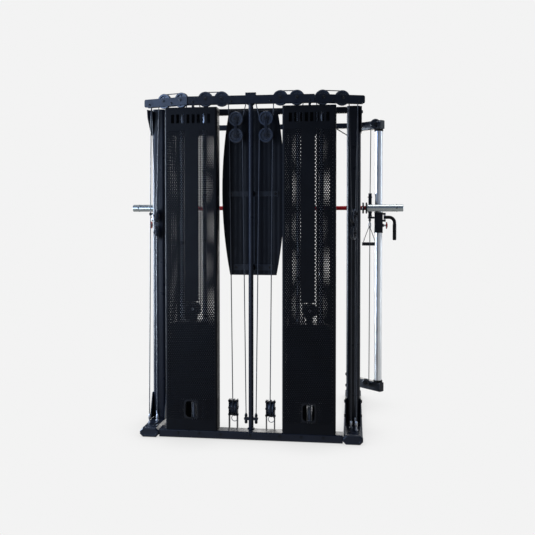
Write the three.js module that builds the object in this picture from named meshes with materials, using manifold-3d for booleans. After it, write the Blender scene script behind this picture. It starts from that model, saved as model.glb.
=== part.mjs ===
// Functional trainer with two weight stacks, adjustable pulley columns and a guided press bar.
// Millimetres, +Z up. The origin is on the floor, at the middle of the footprint.
// -Y is the rear, where the pulley beam and the weight towers are. +Y is the side where the user stands.
// Everything that exists twice is drawn once, on the right (+X), and mirrored for the left.
import * as THREE from "three";
import { mergeVertices } from "three/addons/utils/BufferGeometryUtils.js";
import Module from "manifold-3d";

// ---- Driving dimensions ----
const GAP = 0.3; // clearance between neighbours that touch on the real machine
const WALL = 3; // wall of the steel tubes
const PLATE = 5; // thickness of gusset and beam plates
const SIDES = 10; // facets of a small round part
const ROUND_SIDES = 16; // facets of a large round part
const WHEEL_SIDES = 12; // facets of a cable wheel
const CORNER_STEPS = 1; // steps of a tube corner, for each eighth of a turn
const HALF_TURN = Math.PI;

const FOOT = { x: 617, width: 115, height: 55, chamfer: 16, rear: -545, front: 575 };
const CAP = { rear: -575, width: 119, height: 57, bevel: 6 };
const BASE_BEAM = { rear: -565, front: -480, bottom: 2, top: 52 };
const REAR_UPRIGHT = { x: 617, y: -305, width: 86, depth: 74, corner: 22, top: 2024 };
const FRONT_UPRIGHT = { x: 610, y: 435, size: 60, top: 2019 };
const TOP_RAIL = { z: 2000, height: 38, width: 50 };
const BEAM = {
  y: -495,
  gap: 28, // between the front and the rear plates
  bottom: 2025,
  top: 2074,
  halfStraight: 385,
  wing: 326,
  wingTurn: 17, // degrees towards the user's side
  wingCorner: 10,
};
const TOP_PULLEY = { z: 2057, radius: 46, width: 20, axle: 6 };
const INNER_PULLEYS = [179, 278.5]; // on the straight part of the beam, from the middle outwards
const OUTER_PULLEYS = [431, 547]; // on the wing
const POST = { radius: 15, anchorZ: 114, anchorX: 31 };

const TOWER = {
  x: 355.5,
  width: 317, // across the rear face and at the seam
  frontWidth: 257, // across the face on the user's side, which is narrower
  rear: -567,
  seam: -474,
  front: -370,
  bottom: 52.3,
  top: 2000,
};
const SHEET = 2; // thickness of the shroud sheet
const WINDOW = { halfWidth: 40, bottom: 125, top: 230 };
const SLOT = { halfWidth: 38, bottom: 215, top: 1850 };
const GUIDE = { halfSpacing: 69.5, radius: 12.5, top: 2004, bumper: 22 };
const STACK = { y: -495, width: 267, depth: 100, bottom: 234, top: 636 };
const STACK_PLATES = { count: 16, groove: 2, inset: 3 };
const HEAD = { top: 704, shoulder: 24, stem: 11, pinHeight: 18 };
const STACK_PULLEY = { z: 780, radius: 44, strand: 43.5 };
const CABLE = 3; // radius of the coated cable

const BOARD = { y: -395, thickness: 6, waist: 195, waistZ: 1507, sideRadius: 2790, bottom: 982, top: 2000 };
const BRACKET = { upper: [1470, 1500], lower: [1012, 1048] }; // heights of the cross strips behind the board
const CENTRE_BLOCK = { x: 92, upper: 1936, lower: 1835, radius: 44 };
const OUTER_BLOCK = { x: 617, y: -395, upper: 1349, lower: 1245, radius: 44, turn: 18 };
const LOW_BLOCK = { x: 115, y: -462, top: 227, axle: 168, radius: 49, legs: 36, width: 50 };

const COLUMN = { x: 790, y: 275, radius: 25.4, bottom: 180, top: 1954 };
const ARM = { width: 44, topHeight: 60, baseHeight: 64 };
const COLUMN_CABLE = { x: 731, y: 267 };
const CARRIAGE = { size: 58, bottom: 1230, top: 1375, bore: 26.3 };
const SWIVEL = { reach: 34, bottom: 1343.5, top: 1508, pulley: 21, gap: 15 };
const KNOB = { z: 1282, radius: 24, thickness: 12 };
const GRIP = { z: 1150, length: 100, radius: 12.5, hookZ: 1275 };

const BAR = { y: 195, z: 1403, radius: 14.5, end: 956 };
const SLEEVE = { start: 700, radius: 24.5, flange: 38, flangeThickness: 9, play: 0.8 };
const BAR_ROD = { x: 620, y: 240, radius: 12.5 };
const TOP_WHEEL = { x: 766, z: 1991, radius: 35 }; // over the chrome column
const BASE_WHEEL = { x: 706, z: 176, radius: 25 }; // beside its foot
const HANDLE = { pivotZ: 1339, radius: 13, reach: 68, drop: 160, bend: 38 };

// ---- Materials ----
const paint = (color, roughness, metalness = 0.3) =>
  new THREE.MeshStandardMaterial({ color, roughness, metalness });
const FRAME_PAINT = paint(0x181b24, 0.45);
const WING_PAINT = paint(0x4a566e, 0.4);
const SHROUD_PAINT = paint(0x15171b, 0.6);
const PULLEY_PLASTIC = paint(0x17181d, 0.5, 0);
const RUBBER = paint(0x101114, 0.8, 0);
const CHROME = paint(0xc6d2dc, 0.12, 1);
const ROD_STEEL = paint(0x8d949c, 0.3, 0.9);
const PLATE_IRON = paint(0x1b1d22, 0.55, 0.4);
const RED_PAINT = paint(0xa00c12, 0.35, 0.2);
const CABLE_COAT = paint(0x24262b, 0.5, 0.1);
const BOARD_PAINT = paint(0x151924, 0.5, 0.1);
const ZINC = paint(0xb9bfc8, 0.4, 0.8);

// ---- Solids: joining and cutting closed geometries ----
const wasm = await Module();
wasm.setup();

function toSolid(geometry) {
  const bare = geometry.index ? geometry.toNonIndexed() : geometry.clone();
  bare.deleteAttribute("normal");
  bare.deleteAttribute("uv");
  const merged = mergeVertices(bare, 1e-3);
  const vertProperties = merged.attributes.position.array;
  const triVerts = new Uint32Array(merged.index.array);
  return new wasm.Manifold(new wasm.Mesh({ numProp: 3, vertProperties, triVerts }));
}

function toGeometry(solid) {
  const { vertProperties, triVerts } = solid.getMesh();
  const geometry = new THREE.BufferGeometry();
  geometry.setAttribute("position", new THREE.BufferAttribute(new Float32Array(vertProperties), 3));
  geometry.setIndex(new THREE.BufferAttribute(new Uint32Array(triVerts), 1));
  geometry.computeVertexNormals();
  return geometry;
}

function join(...geometries) {
  return toGeometry(geometries.map(toSolid).reduce((whole, next) => whole.add(next)));
}

function cut(geometry, ...tools) {
  return toGeometry(tools.map(toSolid).reduce((rest, tool) => rest.subtract(tool), toSolid(geometry)));
}

// ---- Basic shapes ----
function block([x0, x1], [y0, y1], [z0, z1]) {
  const box = new THREE.BoxGeometry(x1 - x0, y1 - y0, z1 - z0);
  return box.translate((x0 + x1) / 2, (y0 + y1) / 2, (z0 + z1) / 2);
}

const around = (middle, half) => [middle - half, middle + half];

// Turns a shape whose length runs along local +Z so that it runs along the named axis.
// For "x" the local x and y become -z and y; for "y" they become x and -z.
function alongAxis(geometry, axis) {
  if (axis === "x") return geometry.rotateY(HALF_TURN / 2);
  if (axis === "y") return geometry.rotateX(-HALF_TURN / 2);
  return geometry;
}

// The three coordinates of a point that lies at `along` on the axis and at a, b on the other two.
function place(axis, along, [a, b]) {
  if (axis === "x") return [along, a, b];
  if (axis === "y") return [a, along, b];
  return [a, b, along];
}

function prism(axis, shape, [from, to], at, curveSegments = CORNER_STEPS) {
  const options = { depth: to - from, bevelEnabled: false, curveSegments };
  const geometry = new THREE.ExtrudeGeometry(shape, options);
  return alongAxis(geometry, axis).translate(...place(axis, from, at));
}

function cylinder(axis, radius, [from, to], at, sides = SIDES) {
  const geometry = new THREE.CylinderGeometry(radius, radius, to - from, sides).rotateX(HALF_TURN / 2);
  return alongAxis(geometry, axis).translate(...place(axis, (from + to) / 2, at));
}

function hexHead(axis, [from, to], at, radius = 9) {
  return cylinder(axis, radius, [from, to], at, 6);
}

function turnAbout(geometry, x, y, degrees) {
  const angle = THREE.MathUtils.degToRad(degrees);
  return geometry.translate(-x, -y, 0).rotateZ(angle).translate(x, y, 0);
}

function outline(points) {
  return new THREE.Shape(points.map(([x, y]) => new THREE.Vector2(x, y)));
}

function roundedRect(width, height, corner) {
  const [w, h] = [width / 2 - corner, height / 2 - corner];
  const shape = new THREE.Shape();
  shape.absarc(w, h, corner, 0, HALF_TURN / 2);
  shape.absarc(-w, h, corner, HALF_TURN / 2, HALF_TURN);
  shape.absarc(-w, -h, corner, HALF_TURN, 1.5 * HALF_TURN);
  shape.absarc(w, -h, corner, 1.5 * HALF_TURN, 2 * HALF_TURN);
  return shape;
}

function octagon(width, height, chamfer) {
  const [w, h] = [width / 2, height / 2];
  const [wi, hi] = [w - chamfer, h - chamfer];
  return outline([[w, -hi], [w, hi], [wi, h], [-wi, h], [-w, hi], [-w, -hi], [-wi, -h], [wi, -h]]);
}

function hollow(outer, inner) {
  outer.holes.push(inner);
  return outer;
}

const squareTube = (width, height, corner) =>
  hollow(
    roundedRect(width, height, corner),
    roundedRect(width - 2 * WALL, height - 2 * WALL, Math.max(corner - WALL, 1)),
  );

// A plate that stands in the YZ plane, from a list of [y, z] corners, between two x values.
function sidePlate(corners, [x0, x1]) {
  const geometry = new THREE.ExtrudeGeometry(outline(corners), { depth: x1 - x0, bevelEnabled: false });
  return geometry.rotateX(HALF_TURN / 2).rotateZ(HALF_TURN / 2).translate(x0, 0, 0);
}

// A grooved cable wheel on the local Y axis, with an optional bore.
function wheel(radius, width, bore = 0) {
  const half = width / 2;
  const profile = [[bore, -half], [radius, -half], [radius - 7, 0], [radius, half], [bore, half]];
  if (bore > 0) profile.push([bore, -half]);
  return new THREE.LatheGeometry(profile.map(([r, y]) => new THREE.Vector2(r, y)), WHEEL_SIDES);
}

// ---- Frame ----
function foot() {
  const section = hollow(
    octagon(FOOT.width, FOOT.height, FOOT.chamfer),
    octagon(FOOT.width - 2 * WALL, FOOT.height - 2 * WALL, FOOT.chamfer - WALL),
  );
  const frontPlug = octagon(FOOT.width, FOOT.height, FOOT.chamfer);
  const centre = [FOOT.x, FOOT.height / 2];
  const [capPlateRear, capPlateFront] = [FOOT.rear + 8, FOOT.rear + 78];
  const boltHeads = [capPlateRear + 18, capPlateFront - 18].map((y) =>
    hexHead("z", [FOOT.height + PLATE - 2, FOOT.height + PLATE + 5], [FOOT.x - 20, y]),
  );
  return join(
    prism("y", section, [FOOT.rear, FOOT.front - PLATE], centre),
    prism("y", frontPlug, [FOOT.front - PLATE - 1, FOOT.front], centre),
    block(around(FOOT.x, 38), [capPlateRear, capPlateFront], [FOOT.height - 1, FOOT.height + PLATE - 1]),
    ...boltHeads,
  );
}

// The faceted end cap, with a plug that goes into the foot tube.
function footCap() {
  const plugLength = 25;
  const plug = octagon(FOOT.width - 2 * WALL - 1, FOOT.height - 2 * WALL - 1, FOOT.chamfer - WALL);
  const shell = new THREE.ExtrudeGeometry(
    octagon(CAP.width - 2 * CAP.bevel, CAP.height - 2 * CAP.bevel, FOOT.chamfer - 2),
    {
      depth: FOOT.rear - GAP - CAP.rear - CAP.bevel,
      bevelSize: CAP.bevel,
      bevelThickness: CAP.bevel,
      bevelSegments: 1,
    },
  );
  const shellBody = alongAxis(shell, "y").translate(FOOT.x, CAP.rear + CAP.bevel, CAP.height / 2);
  const inFront = [FOOT.rear - GAP, FOOT.rear + 100];
  const behindTube = block(around(FOOT.x, CAP.width), inFront, [-1, CAP.height + 1]);
  const plugBody = prism("y", plug, [FOOT.rear - 10, FOOT.rear + plugLength], [FOOT.x, FOOT.height / 2]);
  return join(cut(shellBody, behindTube), plugBody);
}

// The beam between the feet that carries both towers, with end flanges and clips on its rear edge.
function rearBaseBeam() {
  const end = FOOT.x - CAP.width / 2 - GAP;
  const middleY = (BASE_BEAM.rear + BASE_BEAM.front) / 2;
  const middleZ = (BASE_BEAM.bottom + BASE_BEAM.top) / 2;
  const [height, depth] = [BASE_BEAM.top - BASE_BEAM.bottom, BASE_BEAM.front - BASE_BEAM.rear];
  const flanges = [-1, 1].map((side) =>
    block(side < 0 ? [-end, PLATE - end] : [end - PLATE, end], around(middleY, 36), around(middleZ, 22)),
  );
  const clips = [-440, -310, -180, 0, 180, 310, 440].map((x) =>
    block(around(x, 8), [BASE_BEAM.rear - 4, BASE_BEAM.rear + 1], around(middleZ + 6, 7)),
  );
  const open = prism("x", squareTube(height, depth, 8), [1 - end, end - 1], [middleY, middleZ]);
  return join(open, ...clips, cut(flanges[0], ventHole(-end, middleY, middleZ)), flanges[1]);
}

// The opening in an end flange that keeps the beam's inside open to the air.
function ventHole(x, y, z) {
  return cylinder("x", 8, around(x, 3 * PLATE), [y, z]);
}

function rearUpright() {
  const { x, y, width, depth, corner, top } = REAR_UPRIGHT;
  const bottom = FOOT.height + GAP;
  const face = { inner: x - width / 2, outer: x + width / 2 };
  const gussetSide = [[y + 82, bottom], [y + 82, bottom + 25], [y + 34, 215]];
  const gusset = [...gussetSide, ...gussetSide.map(([gy, gz]) => [2 * y - gy, gz]).reverse()];
  const wingPlate = [[y + 36, 1862], [y - 36, 1862], [-420, 1960], [-432, 2010], [y + 36, top]];
  const outerHead = [face.outer + PLATE - 1, face.outer + PLATE + 8];
  const innerHead = [face.inner - PLATE - 8, face.inner - PLATE + 1];
  const lowBolts = [100, 190].flatMap((z) => [
    hexHead("x", outerHead, [y, z]),
    hexHead("x", innerHead, [y, z]),
  ]);
  const clipBolts = [290, 360].map((z) => hexHead("x", [face.inner - 6, face.inner + 1], [y, z], 6));
  const wingBolts = [1900, 1990].map((z) => hexHead("x", outerHead, [y - 20, z]));
  return join(
    prism("z", squareTube(width, depth, corner), [bottom, top], [x, y], 2),
    sidePlate(gusset, [face.outer - 0.5, face.outer + PLATE]),
    sidePlate(gusset, [face.inner - PLATE, face.inner + 0.5]),
    sidePlate(wingPlate, [face.outer - 0.5, face.outer + PLATE]),
    ...lowBolts,
    ...clipBolts,
    ...wingBolts,
  );
}

// An arm from the front upright out to the chrome column: a tube that is open at its outer end.
function columnArm(height, z) {
  const [dx, dy] = [FRONT_UPRIGHT.x - COLUMN.x, FRONT_UPRIGHT.y - COLUMN.y];
  const overhang = 32;
  const length = Math.hypot(dx, dy) - FRONT_UPRIGHT.size / 2 + 2;
  const tube = prism("x", squareTube(height, ARM.width, 6), [-overhang, length], [0, z]);
  return tube.rotateZ(Math.atan2(dy, dx)).translate(COLUMN.x, COLUMN.y, 0);
}

// Side frame on the user's side: upright, top rail back to the rear upright, column arms and their wheels.
function frontFrame() {
  const { x, y, size, top } = FRONT_UPRIGHT;
  const railRear = REAR_UPRIGHT.y + REAR_UPRIGHT.depth / 2 + GAP;
  const topArmZ = COLUMN.top + GAP + ARM.topHeight / 2;
  const baseArmZ = COLUMN.bottom - GAP - ARM.baseHeight / 2;
  const wheelY = COLUMN_CABLE.y;
  const armWheel = (at) => cylinder("y", at.radius, around(wheelY, 8), [at.x, at.z], WHEEL_SIDES);
  const railSection = squareTube(TOP_RAIL.width, TOP_RAIL.height, 8);
  return join(
    prism("z", squareTube(size, size, 8), [FOOT.height + GAP, top], [x, y]),
    prism("y", railSection, [railRear, y - size / 2 + 2], [x, TOP_RAIL.z]),
    columnArm(ARM.topHeight, topArmZ),
    columnArm(ARM.baseHeight, baseArmZ),
    armWheel(TOP_WHEEL),
    cylinder("y", 7, [wheelY, 300], [TOP_WHEEL.x, TOP_WHEEL.z], 6),
    armWheel(BASE_WHEEL),
    block(around(BASE_WHEEL.x, 8), [wheelY + 7, 345], [BASE_WHEEL.z - 30, BASE_WHEEL.z]),
  );
}

// Plates, spacers and pulley axles of the bent beam across the rear top.
function topPulleyBeam() {
  const halfGap = BEAM.gap / 2;
  const height = BEAM.top - BEAM.bottom;
  const middleZ = (BEAM.top + BEAM.bottom) / 2;
  const wingMiddle = BEAM.halfStraight + BEAM.wing / 2 - 20;
  const wingOutline = roundedRect(BEAM.wing, height, BEAM.wingCorner);
  const pieces = [];
  for (const face of [-1, 1]) {
    const middle = BEAM.y + face * (halfGap + PLATE / 2);
    const [near, far] = around(middle, PLATE / 2);
    pieces.push(block([-BEAM.halfStraight, BEAM.halfStraight], [near, far], [BEAM.bottom, BEAM.top]));
    for (const side of [-1, 1]) {
      const wing = prism("y", wingOutline, [near, far], [wingMiddle, middleZ]);
      pieces.push(mirrorTo(side, turnAbout(wing, BEAM.halfStraight, BEAM.y, BEAM.wingTurn)));
    }
  }
  for (const side of [-1, 1]) {
    for (const x of [...INNER_PULLEYS, ...OUTER_PULLEYS]) pieces.push(mirrorTo(side, beamAxle(x)));
    for (const x of [120, 355, 489, 640]) pieces.push(mirrorTo(side, beamSpacer(x)));
  }
  const centreBracket = block(around(0, 33), around(BEAM.y, halfGap + 1), [BEAM.bottom, BEAM.top + 17]);
  return join(...pieces, centreBracket);
}

function mirrorTo(side, geometry) {
  if (side > 0) return geometry;
  const mirrored = geometry.index ? geometry.toNonIndexed() : geometry;
  mirrored.scale(-1, 1, 1);
  const { array } = mirrored.attributes.position;
  // Mirroring turns each face round, so the first and last corner of each triangle change places.
  for (let i = 0; i < array.length; i += 9) {
    for (let k = 0; k < 3; k++) [array[i + k], array[i + 6 + k]] = [array[i + 6 + k], array[i + k]];
  }
  return mirrored;
}

// How far along the straightened beam a point lies that ends up at x once the wing is turned.
function alongBeam(x) {
  const beyond = x - BEAM.halfStraight;
  return beyond > 0 ? BEAM.halfStraight + beyond / Math.cos(THREE.MathUtils.degToRad(BEAM.wingTurn)) : x;
}

function turnWithBeam(geometry, x) {
  const degrees = x > BEAM.halfStraight ? BEAM.wingTurn : 0;
  return turnAbout(geometry, BEAM.halfStraight, BEAM.y, degrees);
}

// Bolt through both beam plates, at distance x from the middle.
function beamAxle(x) {
  const reach = BEAM.gap / 2 + PLATE;
  const at = [alongBeam(x), TOP_PULLEY.z];
  const bolt = cylinder("y", TOP_PULLEY.axle, around(BEAM.y, reach - 1), at, 8);
  const head = hexHead("y", [BEAM.y - reach - 7, BEAM.y - reach + 1], at);
  return turnWithBeam(join(bolt, head), x);
}

function beamSpacer(x) {
  const at = [alongBeam(x), BEAM.bottom + 14];
  return turnWithBeam(cylinder("y", 9, around(BEAM.y, BEAM.gap / 2 + 1), at, 6), x);
}

function topPulley(x) {
  const pulley = wheel(TOP_PULLEY.radius, TOP_PULLEY.width, TOP_PULLEY.axle + 0.6);
  return turnWithBeam(pulley.translate(alongBeam(x), BEAM.y, TOP_PULLEY.z), x);
}

// Flat tube behind the pulley beam, between the rear uprights.
function topCrossBeam() {
  const end = REAR_UPRIGHT.x - REAR_UPRIGHT.width / 2 - GAP;
  return prism("x", squareTube(38, 40, 6), [-end, end], [REAR_UPRIGHT.y, 2004]);
}

// Tube across the user's side, with a diagonal brace at each end.
function frontTopBeam() {
  const end = FRONT_UPRIGHT.x - FRONT_UPRIGHT.size / 2 - GAP;
  const tube = prism("x", squareTube(38, 38, 6), [-end, end], [FRONT_UPRIGHT.y, TOP_RAIL.z]);
  const braces = [-1, 1].map((side) => {
    const strip = new THREE.BoxGeometry(110, 26, 7).rotateY(THREE.MathUtils.degToRad(32));
    strip.translate(end - 52, FRONT_UPRIGHT.y, TOP_RAIL.z - 42);
    const bolt = hexHead("x", [end - 12, end - 2], [FRONT_UPRIGHT.y, TOP_RAIL.z - 67], 8);
    return mirrorTo(side, join(strip, bolt));
  });
  return join(tube, ...braces);
}

// Round post in the middle, with the cable anchor bar near its foot.
function centrePost() {
  const anchorEnds = [-1, 1].flatMap((side) => [
    cylinder("z", 10, [98, 131], [side * POST.anchorX, BEAM.y], 8),
    cylinder("z", 7, [130, 152], [side * POST.anchorX, BEAM.y], 8),
  ]);
  return join(
    cylinder("z", POST.radius, [BASE_BEAM.top + GAP, BEAM.bottom - GAP], [0, BEAM.y], ROUND_SIDES),
    block(around(0, POST.anchorX + 12), around(BEAM.y, 8), around(POST.anchorZ, 9)),
    ...anchorEnds,
  );
}

// ---- Weight towers ----
// One half of a tower's cover: a channel of bent sheet that opens towards the other half. Its flanges lean
// when its face is narrower than the seam.
function shroudChannel(face, seam, faceWidth) {
  const { x, width, bottom, top } = TOWER;
  const inward = Math.sign(seam - face);
  const [half, faceHalf] = [width / 2, faceWidth / 2];
  const right = [
    [faceHalf, face],
    [half, seam],
    [half - SHEET, seam],
    [faceHalf - SHEET, face + inward * SHEET],
  ];
  const left = right.map(([cx, cy]) => [-cx, cy]).reverse();
  return prism("z", outline([...right, ...left]), [bottom, top], [x, 0]);
}

function rearShroud() {
  const channel = shroudChannel(TOWER.rear, TOWER.seam - GAP, TOWER.width);
  const window = prism(
    "y",
    roundedRect(2 * WINDOW.halfWidth, WINDOW.top - WINDOW.bottom, 30),
    [TOWER.rear - 5, TOWER.rear + 5],
    [TOWER.x, (WINDOW.top + WINDOW.bottom) / 2],
  );
  return cut(channel, window);
}

function frontShroud() {
  const slot = block(around(TOWER.x, SLOT.halfWidth), around(TOWER.front, 5), [SLOT.bottom, SLOT.top]);
  return cut(shroudChannel(TOWER.front, TOWER.seam, TOWER.frontWidth), slot);
}

// Both guide rods of a stack with their base plate, bumpers and top tie plate.
function guideRods() {
  const { y } = STACK;
  const seat = BASE_BEAM.top + GAP;
  const rods = [-1, 1].flatMap((side) => {
    const x = TOWER.x + side * GUIDE.halfSpacing;
    return [
      cylinder("z", GUIDE.radius, [seat + 5, GUIDE.top], [x, y]),
      cylinder("z", GUIDE.bumper, [seat + 5, STACK.bottom - GAP], [x, y]),
    ];
  });
  const tieHeight = [GUIDE.top - 6, GUIDE.top + 1];
  const tie = block(around(TOWER.x, GUIDE.halfSpacing + 20), around(y, 18), tieHeight);
  const cableHoles = [-1, 1].map((side) =>
    cylinder("z", 9, around(GUIDE.top, 20), [TOWER.x + side * STACK_PULLEY.strand, y], 8),
  );
  return join(
    block(around(TOWER.x, 120), around(y, 14), [seat, seat + 12]),
    ...rods,
    cut(tie, ...cableHoles),
    block(around(TOWER.x, 8), around(y, 10), [GUIDE.top, BEAM.bottom + 4]),
  );
}

// The plates that stay down: one block, grooved between the plates on its front and rear faces.
function weightStack() {
  const { y, width, depth, bottom, top } = STACK;
  const { count, groove, inset } = STACK_PLATES;
  const pitch = (top - bottom) / count;
  const [rear, front] = [y - depth / 2, y + depth / 2];
  const rearEdge = [];
  const frontEdge = [];
  for (let i = 0; i < count; i++) {
    const low = bottom + i * pitch;
    const high = low + pitch - (i < count - 1 ? groove : 0);
    rearEdge.push([rear, low], [rear, high]);
    frontEdge.push([front, low], [front, high]);
    if (i < count - 1) {
      rearEdge.push([rear + inset, high], [rear + inset, high + groove]);
      frontEdge.push([front - inset, high], [front - inset, high + groove]);
    }
  }
  const body = sidePlate([...rearEdge, ...frontEdge.reverse()], around(TOWER.x, width / 2));
  const through = [bottom - 5, top + 5];
  return cut(body, ...stackBores(through), cylinder("z", HEAD.stem + 1, through, [TOWER.x, y]));
}

function stackBores(span) {
  return [-1, 1].map((side) =>
    cylinder("z", GUIDE.radius + 1.2, span, [TOWER.x + side * GUIDE.halfSpacing, STACK.y]),
  );
}

// The lifted piece: stepped top plate, selector stem, and the yoke with the stack pulley.
function stackHead() {
  const { y, width, depth } = STACK;
  const bottom = STACK.top + GAP;
  const { top, shoulder, stem } = HEAD;
  const axle = STACK_PULLEY.z;
  const half = width / 2;
  const stepped = outline([
    [-half, bottom],
    [half, bottom],
    [half, top - shoulder],
    [half - 12, top - 14],
    [half - 52, top],
    [52 - half, top],
    [12 - half, top - 14],
    [-half, top - shoulder],
  ]);
  const plate = new THREE.ExtrudeGeometry(stepped, { depth, bevelEnabled: false });
  plate.rotateX(HALF_TURN / 2).translate(TOWER.x, y + depth / 2, 0);
  const pinHole = cylinder("y", 6, [y, y + depth], [TOWER.x, bottom + HEAD.pinHeight], 8);
  const yokePlates = [-1, 1].map((side) =>
    block(around(TOWER.x, 20), side < 0 ? [y - 19, y - 14] : [y + 14, y + 19], [top - 5, axle + 22]),
  );
  return join(
    cut(plate, ...stackBores([bottom - 5, top + 5]), pinHole),
    cylinder("z", stem, [STACK.bottom + 8, bottom + 2], [TOWER.x, y]),
    ...yokePlates,
    cylinder("y", 8, around(y, 24), [TOWER.x, axle], 8),
    wheel(STACK_PULLEY.radius, 20).translate(TOWER.x, y, axle),
  );
}

// Selector pin in the front of the top plate.
function stackPin() {
  const z = STACK.top + GAP + HEAD.pinHeight;
  const plateFront = STACK.y + STACK.depth / 2;
  return join(
    cylinder("y", 4.8, [plateFront - 40, plateFront + 8], [TOWER.x, z], 8),
    cylinder("y", 14, [plateFront + 7, plateFront + 33], [TOWER.x, z], 8),
  );
}

// The load cable: down from one top pulley, under the stack pulley and up to the next.
function stackCable() {
  const { strand, z: axle } = STACK_PULLEY;
  const bendSteps = 8;
  const under = new THREE.ArcCurve(0, 0, strand, HALF_TURN, 2 * HALF_TURN);
  const bendPoints = under.getPoints(bendSteps).map(({ x, y }) => new THREE.Vector3(x, 0, y));
  const bendPath = new THREE.CatmullRomCurve3(bendPoints);
  const ring = new THREE.Shape().absarc(0, 0, CABLE, 0, 2 * HALF_TURN);
  const bend = new THREE.ExtrudeGeometry(ring, {
    extrudePath: bendPath,
    steps: bendSteps,
    curveSegments: 3,
    bevelEnabled: false,
  });
  const strands = [-1, 1].map((side) =>
    cylinder("z", CABLE, [axle - 1, BEAM.bottom - 24], [TOWER.x + side * strand, STACK.y], 8),
  );
  return join(bend.translate(TOWER.x, STACK.y, axle), ...strands);
}

// ---- Board between the towers ----
function exerciseBoard() {
  const { y, thickness, waist, waistZ, sideRadius, bottom, top } = BOARD;
  const widthAt = (z) => waist - sideRadius + Math.sqrt(sideRadius ** 2 - (z - waistZ) ** 2);
  const levels = 10;
  const right = [];
  for (let i = 0; i <= levels; i++) {
    const z = bottom + ((top - bottom) * i) / levels;
    right.push([widthAt(z), z]);
  }
  const left = right.map(([x, z]) => [-x, z]).reverse();
  const options = { depth: thickness, bevelEnabled: false };
  const geometry = new THREE.ExtrudeGeometry(outline([...right, ...left]), options);
  return geometry.rotateX(HALF_TURN / 2).translate(0, y + thickness / 2, 0);
}

// Two cross strips on a spine, held off the centre post.
function boardBracket() {
  const back = BOARD.y - BOARD.thickness / 2 - GAP;
  const { upper, lower } = BRACKET;
  const strip = (halfWidth, z) => block(around(0, halfWidth), [back - 6, back], z);
  const standOff = ([low, high]) =>
    block(around(0, 8), [BEAM.y + POST.radius + GAP, back - 1], around((low + high) / 2, 12));
  return join(
    strip(156, upper),
    strip(122, lower),
    strip(12, [lower[0], upper[1]]),
    standOff(upper),
    standOff(lower),
  );
}

// ---- Cable blocks ----
// Two cable wheels, one above the other, held between a pair of links. Drawn in the XZ plane.
function floatingBlock({ upper, lower, radius }) {
  const link = roundedRect(34, upper - lower + 34, 15);
  const links = [-13, 13].map((linkY) => prism("y", link, around(linkY, 2), [0, (upper + lower) / 2]));
  const wheels = [upper, lower].flatMap((z) => [
    wheel(radius, 20).translate(0, 0, z),
    cylinder("y", 7, around(0, 20), [0, z], 6),
  ]);
  return join(...links, ...wheels);
}

function centreBlock() {
  return floatingBlock(CENTRE_BLOCK).translate(CENTRE_BLOCK.x, BEAM.y, 0);
}

function outerBlock() {
  const quarterTurn = 90;
  const upright = turnAbout(floatingBlock(OUTER_BLOCK), 0, 0, quarterTurn - OUTER_BLOCK.turn);
  return upright.translate(OUTER_BLOCK.x, OUTER_BLOCK.y, 0);
}

// Low wheel on the user's side of the base beam, on two legs, with its axle across the machine.
function lowBlock() {
  const { x, y, top, axle, legs, width } = LOW_BLOCK;
  const halfWidth = width / 2;
  const depth = [BASE_BEAM.front + GAP, BASE_BEAM.front + 42];
  const cheeks = [-1, 1].map((side) => {
    const face = x + side * halfWidth;
    return block([face - 2, face + 2], depth, [legs, top - 6]);
  });
  const across = around(x, halfWidth + 6);
  const bolts = [axle - 42, axle, axle + 42].map((z) => cylinder("x", 6, across, [y, z], 6));
  const pulley = turnAbout(wheel(LOW_BLOCK.radius, 20), 0, 0, 90).translate(x, BASE_BEAM.front + 43, axle);
  const pulleyAxle = cylinder("x", 6, around(x, halfWidth), [BASE_BEAM.front + 40, axle], 6);
  return join(...cheeks, ...bolts, pulley, pulleyAxle);
}

// ---- Pulley columns ----
function columnPost() {
  const { x, y, radius, bottom, top } = COLUMN;
  return cut(
    cylinder("z", radius, [bottom, top], [x, y], ROUND_SIDES),
    cylinder("z", radius - WALL, [bottom - 1, top + 1], [x, y], ROUND_SIDES),
  );
}

// Sliding box on the column, with a lug for the swivel and a boss for the pop pin.
function carriage() {
  const { x, y } = COLUMN;
  const half = CARRIAGE.size / 2;
  const lugTop = SWIVEL.bottom - GAP;
  const body = join(
    block(around(x, half), around(y, half), [CARRIAGE.bottom, CARRIAGE.top]),
    block([COLUMN_CABLE.x - 15, x - half + 1], around(COLUMN_CABLE.y, 8), [lugTop - 14, lugTop]),
    cylinder("x", 11, [x + half - 1, x + half + 8], [y, KNOB.z]),
    ...[HANDLE.pivotZ - 24, HANDLE.pivotZ + 24].map((z) =>
      block([x + half - 1, x + half + 21], around(y, 9), around(z, 7)),
    ),
  );
  return cut(
    body,
    cylinder("z", CARRIAGE.bore, [CARRIAGE.bottom - 1, CARRIAGE.top + 1], [x, y], ROUND_SIDES),
    cylinder("z", 7, around(lugTop, 30), [COLUMN_CABLE.x, COLUMN_CABLE.y], 8),
    cylinder("x", 6, [x + 27, x + half + 10], [y, KNOB.z], 8),
  );
}

// Pull knob whose stem goes through the boss towards the column.
function popPin() {
  const start = COLUMN.x + CARRIAGE.size / 2 + 8 + 14;
  return join(
    cylinder("x", 5, [COLUMN.x + 27.5, start + 2], [COLUMN.y, KNOB.z], 8),
    cylinder("x", KNOB.radius, [start, start + KNOB.thickness], [COLUMN.y, KNOB.z]),
  );
}

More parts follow.
